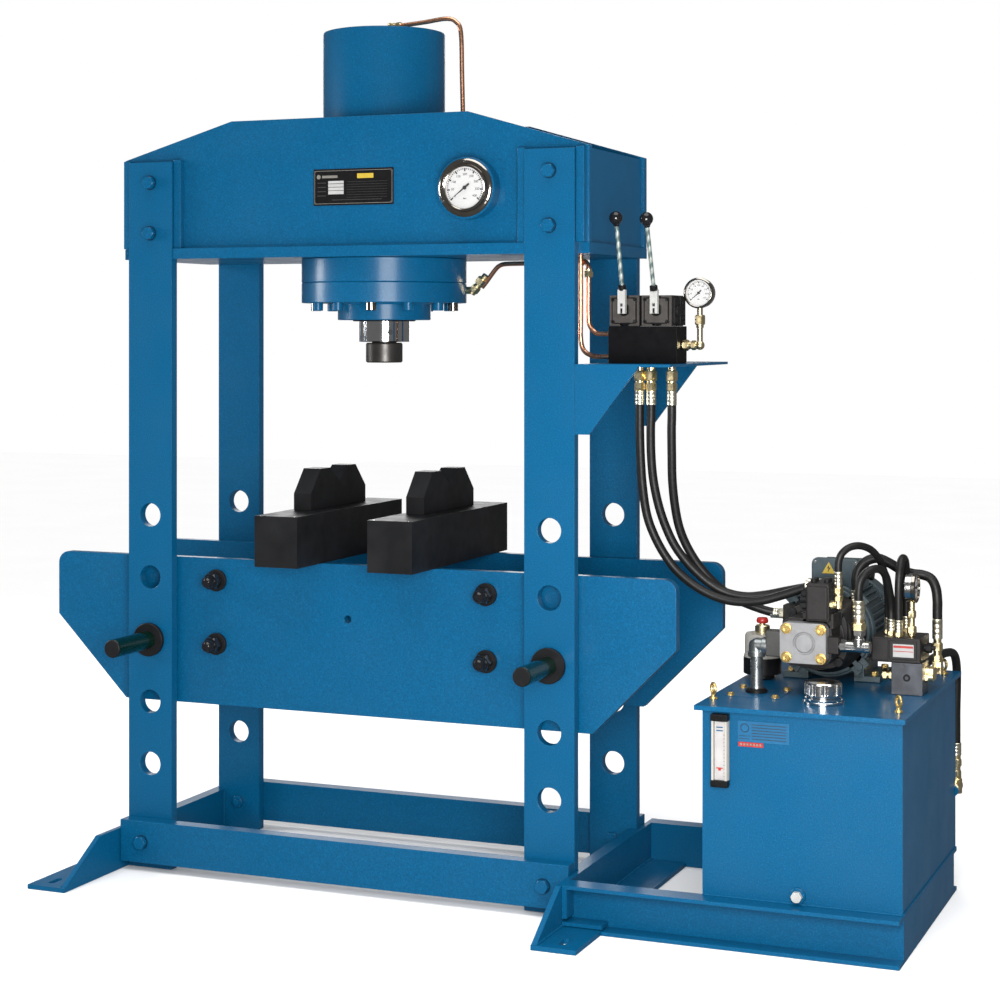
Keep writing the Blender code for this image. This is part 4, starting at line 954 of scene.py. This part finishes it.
def add_gauges():
    """The head gauge, the valve gauge and the unit gauge with their stems."""
    scale = ("0", "50", "100", "150", "200", "250", "300", "350", "400")
    add_gauge("head gauge", "head_gauge", (GAUGE_X, -21, GAUGE_Z), "Y", 53, 70, scale, 13)
    screws = []
    for turn in (90, 210, 330):
        x = GAUGE_X + 60 * math.cos(math.radians(turn))
        z = GAUGE_Z + 60 * math.sin(math.radians(turn))
        screws.append(rod((x, 0, z), "Y", 3.2, -18.5, -15, 20, 0.6))
    piece(merge(*screws), "head gauge screws", STEEL)
    text("bar", "head gauge unit", 6, (GAUGE_X, -15.6, GAUGE_Z - 24), "Y", INK)
    add_gauge("valve gauge", "valve_gauge", (GAUGE_STEM_X, 145, 1380), "Y", 34.5, 30, scale)
    text("bar", "valve gauge unit", 4.4, (GAUGE_STEM_X, 150.3, 1366), "Y", INK)
    fitting(
        "valve gauge stem", (GAUGE_STEM_X, 160, 0), "Z",
        [("round", 6.5, 1258, 1352), ("hex", 21, 1309, 1331), ("round", 8.5, 1302, 1310)],
    )
    fitting(
        "valve gauge elbow", (0, 160, 1263), "X",
        [("round", 8.5, 775, 818), ("hex", 22, 777, 790), ("hex", 19, 797, 807)],
    )
    piece(ball((GAUGE_STEM_X, 160, 1263), 10.5), "valve gauge elbow corner", BRASS)
    scale = ("0", "40", "80", "120", "160")
    add_gauge("unit gauge", "unit_gauge", (1290, 228, 734), "X", 33, 26, scale)
    fitting(
        "unit gauge stem", (1277, MIDDLE_Y, 0), "Z",
        [("round", 7, 628, 706), ("hex", 19, 634, 650), ("hex", 17, 668, 684)],
    )


# ---------------------------------------------------------------- valve station
def add_valves():
    """Manifold, hand valves and levers."""
    repaint("valve_shelf", BLUE, 0.8)
    bead([(578, 9, 1214), (720, 9, 1214)], 2.4, "gusset bead front")
    bead([(578, 443, 1214), (720, 443, 1214)], 2.4, "gusset bead rear")
    manifold = block(612.6, 775, 120, 193.5, 1222.3, 1305.8)
    piece(manifold, "manifold block", MANIFOLD, stands_for=["manifold"], bevel=1.2)
    for number, x in enumerate(PORT_XS):
        fitting(
            f"port {number}", (x, PORT_Y, 0), "Z",
            [
                ("round", 9, 1204, 1223), ("hex", 24, 1182, 1206), ("round", 10, 1176, 1184),
                ("hex", 22, 1160, 1178),
            ],
        )
        fitting(f"port sleeve {number}", (x, PORT_Y, 0), "Z", [("crimp", 11, 1127.3, 1160)], FERRULE)
    caps = merge(
        block(759.5, 764, 140, 172, 1312, 1369), block(759.5, 766, 176, 213, 1308, 1373),
        rod((0, 156, 1340), "X", 12, 762, 769, 32, 1), rod((0, 195, 1324), "X", 7, 764, 768, 28, 1),
        rod((0, 195, 1358), "X", 7, 764, 768, 28, 1),
    )
    piece(caps, "valve side caps", BLACK, bevel=1.2)
    for hand, x, lean in (("left", 649, 15.5), ("right", 725, 19.0)):
        body = block(x - 35, x + 35, 130, 214, 1306.1, 1375.2)
        cut(
            body, rod((x, 0, LEVER_PIVOT_Z), "Y", 14, 110, 150, 32),
            block(x - 10, x + 10, 110, 138, LEVER_PIVOT_Z, 1390),
        )
        plate = block(x - 35, x + 35, 126, 130.2, 1306.1, 1375.2)
        cut(
            plate, rod((x, 0, LEVER_PIVOT_Z), "Y", 14, 110, 150, 32),
            block(x - 10, x + 10, 110, 138, LEVER_PIVOT_Z, 1390),
        )
        cover = prism(rounded(x - 27, x + 27, 1313.5, 1368, 7), "Y", 122, 126.2)
        cut(cover, rod((x, 0, OPENING_Z), "Y", 14, 110, 150, 40))
        edge = prism(rounded(x - 29.5, x + 29.5, 1311, 1370.5, 8), "Y", 124, 126.3)
        cut(edge, rod((x, 0, OPENING_Z), "Y", 14.5, 110, 150, 40))
        piece(edge, f"valve edge {hand}", PLASTIC)
        piece(body, f"valve body {hand}", PUMP, stands_for=[f"valve_{hand}"], bevel=1.2)
        piece(plate, f"valve plate {hand}", VALVE, bevel=0.8)
        piece(cover, f"valve cover {hand}", VALVE, bevel=1)
        piece(rod((x, 0, OPENING_Z), "Y", 13.8, 126.8, 128.5, 40), f"valve opening {hand}", PLASTIC)
        screws = []
        for dx in (-26, 26):
            for z in (1316, 1366):
                head = rod((x + dx, 0, z), "Y", 4.4, 120.8, 126.5, 24, 0.5)
                screws.append(cut(head, rod((x + dx, 0, z), "Y", 2.2, 115, 124, 6)))
        piece(merge(*screws), f"valve screws {hand}", BLACK)
        lever = f"lever_{hand}_body"
        fork = block(x - 8.8, x + 8.8, 104, 116, 1334, 1388)
        cut(fork, block(x - 2.6, x + 2.6, 100, 120, 1330, 1346), block(x - 3, x + 3, 100, 120, 1350, 1357))
        piece(fork, f"lever fork {hand}", FORK, lever, [f"lever_{hand}"], bevel=0.9)
        tongue = merge(block(x - 5, x + 5, 108, 139, 1336, 1350), rod((x, 0, 1341), "Y", 8, 118, 126, 28, 1))
        piece(tongue, f"lever tongue {hand}", PLASTIC, lever, bevel=0.9)
        pivot = (x, LEVER_PIVOT_Y, LEVER_PIVOT_Z)
        stick = lathe([(0, 60), (4.7, 60), (4.7, 226), (0, 226)], pivot, "Z", 24)
        piece(turned(stick, lean, "X", pivot), f"lever rod {hand}", TWIST_PAINTED_SHADE, lever)
        collar = lathe([(0, 72), (9, 72), (9, 82), (6, 84), (0, 84)], pivot, "Z", 28)
        piece(turned(collar, lean, "X", pivot), f"lever collar {hand}", PLASTIC, lever)
        knob = [(0, 219), (6, 219), (7.5, 223)]
        for step in range(1, 13):
            angle = math.radians(-62 + 152 * step / 12)
            knob.append((15.2 * math.cos(angle) if step < 12 else 0, 238 + 15.2 * math.sin(angle)))
        knob = lathe(knob, pivot, "Z", 40)
        piece(turned(knob, lean, "X", pivot), f"lever ball {hand}", GLOSS, lever)


# ---------------------------------------------------------------- bed
def add_bed():
    """Bed plates, tie bolts, pins, support bars and vee blocks."""
    outline = [(-605, 398.5), (605, 398.5), (800, 595)]
    for side in (1, -1):
        for step in range(9):
            turn = math.radians(90 * step / 8)
            if side < 0:
                turn = math.pi / 2 - turn
            outline.append((side * (772 + 28 * math.cos(turn)), 721.5 + 28 * math.sin(turn)))
    outline.append((-800, 595))
    for place, y0 in (("front", 35), ("rear", 396)):
        plate = prism(outline, "Y", y0, y0 + 25)
        cut(plate, rod((-1.8, 0, 621.5), "Y", 9, y0 - 5, y0 + 30, 40))
        for side in (-1, 1):
            cut(plate, rod((side * LEG_CENTRE, 0, PIN_HEIGHT), "Y", 23.5, y0 - 5, y0 + 30, 48))
        piece(plate, f"bed plate {place}", BLUE, stands_for=[f"bed_plate_{place}"], bevel=1.4)
    number = 0
    for z in TIE_HEIGHTS:
        for side in (-1, 1):
            number += 1
            x = side * 350
            middle = lathe(
                [(0, -16), (13, -16), (13, 60.4), (24, 60.4), (24, 395.6), (13, 395.6), (13, 447), (0, 447)],
                (x, 0, z), "Y", 40,
            )
            piece(middle, f"tie rod {number}", BLACK, stands_for=[f"tie_bolt_{number}"])
            washer = lathe([(12, 26), (25, 26), (26, 27), (26, 34.8), (12, 34.8)], (x, 0, z), "Y", 48)
            piece(washer, f"tie washer {number}", BLACK)
            piece(hexagon((x, 0, z), "Y", 36, -1, 26), f"tie nut {number}", GLOSS)
            dome = lathe([(0, -20), (7, -19), (12, -15), (14.5, -9), (15, 0), (0, 0)], (x, 0, z), "Y", 36)
            piece(dome, f"tie dome {number}", GLOSS)
            rear = merge(rod((x, 0, z), "Y", 26, 421.3, 427, 40, 1), hexagon((x, 0, z), "Y", 36, 426, 446))
            piece(rear, f"tie rear nut {number}", BLACK)
    for hand, side in (("left", -1), ("right", 1)):
        x = side * LEG_CENTRE
        body = f"pin_{hand}_body"
        centre = (x, 0, PIN_HEIGHT)
        shaft = lathe([(0, -14), (22, -14), (22, 471), (18, 475), (0, 475)], centre, "Y", 56)
        piece(shaft, f"pin shank {hand}", BLACK, body, [f"bed_pin_{hand}"])
        handle = lathe([(0, -166), (19.5, -166), (21.5, -163), (21.5, -12), (0, -12)], centre, "Y", 56)
        piece(handle, f"pin handle {hand}", GREEN, body)
        end = lathe([(0, -168), (19, -168), (20.6, -166.6), (20.6, -164), (0, -164)], centre, "Y", 56)
        piece(end, f"pin end {hand}", BLACK, body)
        collar = lathe([(0, -13), (38.5, -13), (40, -11.5), (40, -2), (38.8, -1), (0, -1)], centre, "Y", 64)
        piece(collar, f"pin collar {hand}", BLACK, body)
    for hand in ("left", "right"):
        repaint(f"support_bar_{hand}", BLACK, 1.6)
        repaint(f"vee_block_{hand}", BLACK, 1.6)
    scuffs = []
    for x, y in ((-166, -84), (-78, -84), (126, -88), (212, -88), (-166, 470), (126, 466)):
        scuffs.append(rod((x, y, 0), "Z", 3.5, 867.6, 868.6, 16))
    piece(merge(*scuffs[:3]), "bar screws left", STEEL, "support_left_body")
    piece(merge(*scuffs[3:]), "bar screws right", STEEL, "support_right_body")


# ---------------------------------------------------------------- power unit
def add_tank():
    """Base frame, tank, lid, level gauge, labels, eye bolts and small parts on the lid."""
    repaint("unit_frame", BLUE, 0.8)
    repaint("tank", BLUE, 1.2)
    repaint("tank_lid", BLUE, 1.0)
    bead([(893, -71, 492), (1316, -71, 492)], 2.2, "lid bead front")
    bead([(1318, -68, 492), (1318, 538, 492)], 2.2, "lid bead right")
    bead([(893, -71, 99.5), (1316, -71, 99.5)], 2.2, "foot bead front")
    bead([(1318, -68, 99.5), (1318, 538, 99.5)], 2.2, "foot bead right")
    bead([(603, -67, 29), (603, -67, 96)], 2.4, "channel bead")
    piece(block(915, 951, -82, -70.4, 334, 486), "level back", CREAM, stands_for=["level_gauge"], bevel=1.5)
    ends = [block(914, 952, -92, -71, 333, 348), block(914, 952, -92, -71, 472, 487)]
    piece(merge(*ends), "level ends", PLASTIC, bevel=2.5)
    sides = [block(916, 921, -90, -72, 347, 473), block(945, 950, -90, -72, 347, 473)]
    piece(merge(*sides), "level sides", CREAM, bevel=1)
    piece(block(922, 944, -84.5, -80, 347, 473), "level glass", OIL, bevel=0.8)
    piece(merge(*[block(941.5, 944, -85, -84.3, z, z + 1) for z in range(355, 446, 8)]), "level ticks", GREY)
    piece(merge(*[block(926, 940, -85, -84.3, z, z + 2.4) for z in (458, 451)]), "level full marks", BLUE)
    marks = [block(926, 940, -85, -84.3, 372, 374.4), block(930, 936, -85, -84.3, 368, 372)]
    piece(merge(*marks), "level marks", RED)
    balls = [rod((LEVEL_X, 0, z), "Y", 6, -94, -90, 28, 1) for z in (340.5, 479.5)]
    piece(merge(*balls), "level screws", PLASTIC)
    piece(rod((1098, 0, 117), "Y", 17, -77, -69.5, 48, 1.5), "drain boss", BLUE)
    piece(hexagon((1098, 0, 117), "Y", 21, -88, -76), "drain plug", FORK)
    piece(block(969, 1080, -71.2, -70.3, 430, 474), "blue label", BLUE_LABEL)
    piece(ring((984, -71.3, 459), "Y", 8.5, 0.9, 40), "blue label emblem", LABEL_LINE)
    rows = [block(999, 1074, -71.6, -71.1, z, z + 1.8) for z in (466, 460, 454, 448, 442, 436)]
    rows += [block(971, 995, -71.6, -71.1, z, z + 1.2) for z in (442, 436)]
    piece(merge(*rows), "blue label rows", LABEL_LINE)
    piece(block(970, 1024, -71.2, -70.3, 420, 429.5), "red label", RED)
    marks = [block(x, x + 4, -71.6, -71.1, 422.5, 427) for x in range(974, 1020, 7)]
    piece(merge(*marks), "red label marks", SILVER)
    for number, (x, y) in enumerate(((896, -5), (1297, -12), (896, 505), (1297, 505))):
        shank = merge(
            rod((x, y, 0), "Z", 9, LID_TOP, 508, 28, 1), rod((x, y, 0), "Z", 5, 506, 516, 24),
            turned(ring((x, y, 526), "Y", 11, 3.4, 40), -52, "Z", (x, y, 526)),
        )
        piece(shank, f"eye bolt {number}", YELLOW_ZINC)
    heads = [hexagon((x, y, 0), "Z", 13, LID_TOP, 510) for x in (917, 1016) for y in (56, 158)]
    heads += [rod((x, y, 0), "Z", 9, LID_TOP, 504.4, 28) for x in (917, 1016) for y in (56, 158)]
    piece(merge(*heads), "plate bolts", YELLOW_ZINC)
    plate = block(906, 1027, 44, 170, 503.2, 503.8)
    piece(plate, "inspection plate", BLUE, bevel=0.2)


def add_filler():
    """The filler cap with its flutes, neck flange and screws."""
    x, y = 1126, 37
    cap = lathe(
        [
            (0, 494), (26, 494), (26, 510.3), (38, 510.3), (39, 512), (39, 516), (35, 518),
            (35, 521), (40, 523), (40, 545), (37, 549), (30, 551), (0, 551.3),
        ],
        (x, y, 0), "Z", 72,
    )
    for step in range(10):
        angle = 2 * math.pi * step / 10
        spot = (x + 43 * math.cos(angle), y + 43 * math.sin(angle), 0)
        cut(cap, rod(spot, "Z", 8.2, 524, 547, 28))
    piece(cap, "filler cap body", STEEL, "cap_body", ["filler_cap"], bevel=0.6)
    flange = rod((x, y, 0), "Z", 44, LID_TOP, 509.8, 64, 1)
    piece(flange, "filler flange", STEEL)
    screws = []
    for step in range(6):
        angle = 2 * math.pi * (step + 0.5) / 6
        spot = (x + 41 * math.cos(angle), y + 41 * math.sin(angle), 0)
        screws.append(rod(spot, "Z", 2.6, 509, 511.6, 20, 0.6))
    piece(merge(*screws), "filler screws", STEEL)


def socket_screw(x, z, radius, low, high):
    """A round screw head with a hexagon socket in its front face."""
    head = rod((x, 0, z), "Y", radius, low, high, 32, radius * 0.12)
    return cut(head, rod((x, 0, z), "Y", radius * 0.52, low - 3, low + 3, 6))


def add_pump():
    """Pump cover, body, compensator, bell housing and hose ports."""
    start = (AXIS_X, 0, AXIS_Z)
    body = merge(
        prism(rounded(1016, 1128, 568, 672, 26), "Y", 108, 186),
        rod(start, "Y", 66, 184, 262, 56, 3),
    )
    piece(body, "pump body", PUMP, stands_for=["pump"], bevel=2)
    cover = prism(rounded(1020, 1122, 577, 665, 16), "Y", 77, 109)
    cut(cover, rod(start, "Y", 24, 60, 80, 40))
    piece(cover, "pump cover plate", COVER, bevel=3)
    piece(lathe([(0, 76), (18, 76), (21, 79), (21, 82), (0, 82)], start, "Y", 40), "pump cover boss", COVER)
    corners = [(AXIS_X + dx, AXIS_Z + dz) for dx in (-39, 37) for dz in (-31, 31)]
    bolts = [socket_screw(x, z, 9.5, 70, 79) for x, z in corners]
    piece(merge(*bolts), "pump cover bolts", YELLOW_ZINC)
    rings = [rod((x, 0, z), "Y", 12, 75.5, 79, 32, 0.5) for x, z in corners]
    piece(merge(*rings), "pump bolt washers", YELLOW_ZINC)
    flange = prism(rounded(1004, 1144, 551, 691, 48), "Y", 186, 200)
    piece(flange, "pump flange", PUMP, bevel=2)
    lugs = [socket_screw(AXIS_X + dx, AXIS_Z + dz, 10, 174, 188) for dx in (-52, 52) for dz in (-52, 52)]
    piece(merge(*lugs), "pump flange bolts", BLACK)
    bell = lathe(
        [(60, 200), (76, 200), (76, 230), (84, 262), (92, 276), (92, 284), (60, 284)], start, "Y", 64,
    )
    piece(bell, "bell housing", PUMP, bevel=1.6)
    flange = rod(start, "Y", 100, 284, 297.5, 72, 2)
    for step in range(4):
        angle = 45 + 90 * step
        lug = block(AXIS_X + 80, AXIS_X + 118, 284, 297, AXIS_Z - 19, AXIS_Z + 19)
        rib = block(AXIS_X + 60, AXIS_X + 112, 274, 286, AXIS_Z - 5, AXIS_Z + 5)
        lug = merge(lug, rib, hexagon((AXIS_X + 106, 0, AXIS_Z), "Y", 17, 275, 286))
        flange = merge(flange, turned(lug, angle, "Y", (AXIS_X, 0, AXIS_Z)))
    piece(flange, "motor flange", MOTOR, bevel=2)
    top = merge(
        block(1075, 1126, 90, 150, 668, 750), block(1078, 1123, 84, 92, 672, 744),
        block(1062, 1132, 108, 186, 650, 684), block(1080, 1122, 170, 243, 696, 747),
    )
    piece(top, "compensator", PUMP, bevel=2.5)
    screws = [rod((x, 118, 0), "Z", 6.5, 749, 758, 28, 1) for x in (1086, 1115)]
    screws += [rod((x, 138, 0), "Z", 6.5, 749, 758, 28, 1) for x in (1086, 1115)]
    piece(merge(*screws), "compensator screws", BLACK)
    plugs = [hexagon((0, 112, z), "X", 17, 1062, 1076) for z in (700, 726)]
    plugs.append(rod((0, 112, 713), "X", 9, 1058, 1076, 28, 1))
    piece(merge(*plugs), "compensator plugs", BLACK)
    side = merge(block(1122, 1146, 92, 128, 600, 636), block(984.3, 1014, 243, 279, 636, 680))
    piece(side, "pump outlet block", PUMP, bevel=2)
    fitting("pilot elbow side", (0, 110, 704), "X", [("round", 7.5, 1124, 1142), ("hex", 16, 1125, 1132)])
    fitting(
        "pilot elbow", (1142, 110, 0), "Z",
        [
            ("round", 8, 696, 718), ("hex", 17, 712, 724), ("round", 7, 722, 730), ("hex", 19, 728, 742),
            ("round", 8, 740, 748),
        ],
    )
    fitting("pilot sleeve", (1142, 110, 0), "Z", [("crimp", 9, 746, 775.7)], FERRULE)
    fitting(
        "delivery tee", (0, 110, 616), "X",
        [("hex", 24, 1146, 1160), ("round", 12, 1158, 1210), ("hex", 22, 1200, 1212)], STEEL,
    )
    fitting(
        "delivery adaptor", (1186, 110, 0), "Z",
        [("round", 14, 616, 634), ("round", 11, 630, 642), ("hex", 26, 640, 654)], STEEL,
    )
    fitting("delivery nut", (1186, 110, 0), "Z", [("hex", 28, 652, 668), ("round", 12, 666, 678)])
    fitting("delivery sleeve", (1186, 110, 0), "Z", [("crimp", 13, 676, 715.7)], FERRULE)
    fitting("drain sleeve", (1142, 286, 0), "Z", [("crimp", 12.5, 690, 715.7)], FERRULE)
    for number, (y, z) in enumerate(((206, 731), (229, 734))):
        parts = [("crimp", 11.5, 1046, 1072), ("hex", 20, 1070, 1080)]
        fitting(f"hose end {number}", (0, y, z - 1), "X", parts, FERRULE)
    fitting("hose end low", (0, 262, 658), "X", [("crimp", 11.5, 952, 974), ("hex", 20, 972, 985)], FERRULE)


def add_motor():
    """Finned motor body, feet, terminal box, cowl with its grille, and rotor."""
    start = (AXIS_X, 0, AXIS_Z)
    body = lathe(
        [
            (16, 298), (104, 298), (106, 300), (106, 313), (96, 316), (96, 482), (105, 482), (108, 484),
            (108, 536), (104, 544), (96, 548), (30, 548), (30, 545), (95, 545), (103, 538), (104, 488),
            (16, 488),
        ],
        start, "Y", 96,
    )
    piece(body, "motor shell", MOTOR, stands_for=["motor_body"])
    fins = []
    count = 44
    for step in range(count):
        angle = 360 * (step + 0.5) / count
        fin = block(AXIS_X + 90, AXIS_X + 107, 318, 480, AXIS_Z - 1.3, AXIS_Z + 1.3)
        fins.append(turned(fin, angle, "Y", (AXIS_X, 0, AXIS_Z)))
    piece(merge(*fins), "motor fins", MOTOR)
    feet = []
    for side in (-1, 1):
        feet.append(block(*sorted((AXIS_X + side * 52, AXIS_X + side * 112)), 328, 478, 503.3, 517))
        feet.append(block(*sorted((AXIS_X + side * 52, AXIS_X + side * 76)), 328, 478, 512, AXIS_Z - 50))
    piece(merge(*feet), "motor feet", MOTOR, bevel=2)
    bolts = [hexagon((AXIS_X + side * 96, y, 0), "Z", 15, 517, 526) for side in (-1, 1) for y in (348, 458)]
    piece(merge(*bolts), "motor foot bolts", YELLOW_ZINC)
    outline = rounded(AXIS_X - 42, AXIS_X + 62, AXIS_Z + 72, 770, 10)
    box = prism(outline, "Y", 338, 446)
    piece(box, "terminal box", MOTOR, bevel=2)
    lid = prism(rounded(AXIS_X - 45, AXIS_X + 65, 702, 780, 14), "Y", 328, 342)
    piece(lid, "terminal box lid", MOTOR, bevel=3)
    corners = [(AXIS_X - 36, 712), (AXIS_X + 56, 712), (AXIS_X - 36, 770), (AXIS_X + 56, 770)]
    screws = [rod((x, 0, z), "Y", 3.4, 325.5, 330, 20, 0.5) for x, z in corners]
    piece(merge(*screws), "terminal screws", STEEL)
    triangle = prism([(AXIS_X - 20, 745), (AXIS_X + 10, 745), (AXIS_X - 5, 771)], "Y", 327.2, 328.4)
    piece(triangle, "warning triangle", YELLOW)
    bolt = prism([(AXIS_X - 4, 765), (AXIS_X - 9, 756), (AXIS_X - 5, 757), (AXIS_X - 7, 748),
                  (AXIS_X, 759), (AXIS_X - 5, 758)], "Y", 326.8, 327.6)
    piece(bolt, "warning bolt", INK)
    gland = merge(rod((0, 392, 742), "X", 13, 1136, 1150, 32, 1), hexagon((0, 392, 742), "X", 28, 1148, 1158))
    piece(gland, "cable gland", PLASTIC)
    rings = [ring((AXIS_X, 546.8, AXIS_Z), "Y", radius, 1.5, 56) for radius in (30, 44, 58, 72, 86)]
    for turn in range(0, 180, 45):
        bar = block(AXIS_X - 90, AXIS_X + 90, 545.5, 548, AXIS_Z - 1.6, AXIS_Z + 1.6)
        rings.append(turned(bar, turn, "Y", (AXIS_X, 0, AXIS_Z)))
    piece(merge(*rings), "cowl grille", MOTOR)
    repaint("motor_rotor", BLACK)


def add_unit_parts():
    """Suction pipe, breather filter, relief valve and the fittings on the lid."""
    x, y = 960, 111
    pipe = rod((x, y, 0), "Z", 13.5, 470, 588, 40)
    piece(pipe, "suction riser", GALVANISED, stands_for=["suction_pipe"])
    thread = merge(*[ring((x, y, z), "Z", 13.4, 0.9, 32) for z in range(556, 586, 3)])
    piece(thread, "suction thread", GALVANISED)
    grommet = lathe([(13.6, 503), (24, 503), (24, 509), (19, 513), (13.6, 513)], (x, y, 0), "Z", 40)
    piece(grommet, "suction grommet", PLASTIC)
    elbow = merge(
        rod((x, y, 0), "Z", 19, 582, 594, 40, 1), rod((x, y, 0), "Z", 17, 590, 606, 40),
        ball((x, y, 606), 17), rod((0, y, 606), "X", 17, x, 978, 40),
        rod((0, y, 606), "X", 19, 974, 987, 40, 1),
    )
    piece(elbow, "suction elbow", GALVANISED)
    inlet = block(984, 1018, 93, 131, 586, 642)
    piece(inlet, "suction flange", GREY, bevel=3)
    x, y = 922, 300
    base = lathe([(0, 503.3), (26, 503.3), (28, 505), (28, 512), (22, 514), (43, 515), (43, 552), (0, 552)],
                 (x, y, 0), "Z", 48)
    piece(base, "filter bowl", PLASTIC, stands_for=["filter_canister"])
    centre = (x, y, 0)
    top = lathe([(0, 552), (42, 552), (42, 557), (40, 559), (40, 600), (37, 606), (0, 608)], centre, "Z", 48)
    piece(top, "filter head", CREAM)
    neck = lathe([(0, 607), (17, 607), (17, 622), (15, 624), (7, 624), (7, 630), (0, 630)], centre, "Z", 40)
    piece(neck, "filter neck", BRASS)
    knob = lathe([(0, 629), (12, 629), (13.5, 632), (13.5, 636), (11, 641), (0, 642)], centre, "Z", 40)
    piece(knob, "filter knob", RED)

    x0, x1, y0, y1 = 1238, 1306, 198, 264
    base = block(x0, x1, y0, y1, 503.3, 573)
    piece(base, "relief block", STEEL_BLOCK, stands_for=["relief_valve"], bevel=1.2)
    piece(socket_screw(1272, 541, 8, 195.5, 200), "relief plug", BLACK)
    body = block(1194, 1302, 196, 300, 573, 627)
    piece(body, "relief body", PUMP, bevel=2.5)
    front = merge(block(1197, 1232, 192.5, 198, 577, 624), block(1234, 1294, 193.5, 198, 580, 621))
    piece(front, "relief front", PUMP, bevel=1.5)
    piece(block(1243, 1288, 192.4, 193.8, 586, 614), "relief label", LABEL)
    piece(merge(block(1244, 1287, 191.9, 192.6, 606, 611), block(1244, 1287, 191.9, 192.6, 598, 599.5)),
          "relief label stripe", RED)
    adjuster = merge(
        rod((0, 245, 602), "X", 9, 1300, 1312, 28, 1), hexagon((0, 245, 602), "X", 20, 1306, 1318),
        rod((0, 245, 602), "X", 5, 1316, 1325, 24),
    )
    piece(adjuster, "relief adjuster", BLACK)
    parts = [("round", 9, 1212, 1240), ("hex", 24, 1214, 1224), ("hex", 24, 1228, 1238)]
    fitting("relief left port", (0, 230, 541), "X", parts)
    fitting("relief right port", (0, 230, 541), "X", [("hex", 22, 1306, 1314), ("round", 10, 1312, 1324)])
    ports = ((1221, 248, 9), (1232, 228, 10), (1251, 214, 10), (1254, 285, 10))
    for number, (x, y, size) in enumerate(ports):
        fitting(f"relief port {number}", (x, y, 0), "Z", [("round", 7, 626, 634), ("hex", 17, 628, 638)])
        fitting(f"relief sleeve {number}", (x, y, 0), "Z", [("crimp", size, 637, 663.7)], FERRULE)
    manifold = merge(block(1304, 1325, 224, 262, 532, 560), block(1304, 1325, 318, 342, 532, 560),
                     rod((1314, 0, 546), "Y", 9, 258, 322, 32))
    piece(manifold, "drain corner", BRASS, bevel=2)
    parts = [("hex", 20, 558, 574), ("round", 9, 572, 586), ("hex", 21.5, 584, 602), ("round", 9, 600, 612)]
    fitting("drain stack", (1314, 330, 0), "Z", parts)
    fitting("drain end sleeve", (1314, 330, 0), "Z", [("crimp", 11.5, 610, 654.7)], FERRULE)
    fitting("return start", (1284, 0, 548), "Y", [("hex", 20, 262, 272), ("crimp", 11, 271, 291.7)])
    spot = (RETURN_X, RETURN_Y, 0)
    fitting("return sleeve", spot, "Z", [("crimp", 12, 304, 333.7)], FERRULE)
    parts = [("round", 10.5, 296, 305), ("hex", 22, 278, 297), ("round", 10, 268, 280), ("hex", 21, 248, 270)]
    fitting("return union", spot, "Z", parts)
    fitting("return elbow", spot, "Z", [("round", 13.8, 216.4, 250)])
    piece(ball((RETURN_X, RETURN_Y, 232), 14), "return elbow corner", BRASS)
    fitting("return stub", (RETURN_X, 0, 232), "Y", [("hex", 24, 545, 560), ("round", 13.8, 541, 592.2)])


def add_pipe_fittings():
    """The nuts on the gland's copper pipe, and the slanting brass union at the gland."""
    fitting("bend nut", (549, 165, 0), "Z", [("hex", 19, 1418, 1432), ("round", 8, 1430, 1438)])
    fitting("bend nut side", (0, 176, 1455), "X", [("hex", 17, 522, 534)])
    spot = (214, 302, 1402)
    union = merge(
        rod(spot, "Z", 9, 1380, 1394, 28, 0.6), hexagon(spot, "Z", 21, 1386, 1402),
        rod(spot, "Z", 9, 1400, 1410, 28, 0.6),
        hexagon(spot, "Z", 25, 1409, 1426), rod(spot, "Z", 9, 1424, 1438, 28, 1),
    )
    piece(turned(union, 42, "Y", spot), "gland union", BRASS)
    fitting("gland port", (0, 304, 1393), "X", [("round", 9, 168, 204)])


add_camera()
add_studio()
add_tubes()
add_legs()
add_rails()
add_head()
add_nameplate()
add_cylinder()
add_gauges()
add_valves()
add_bed()
add_tank()
add_filler()
add_pump()
add_motor()
add_unit_parts()
add_pipe_fittings()
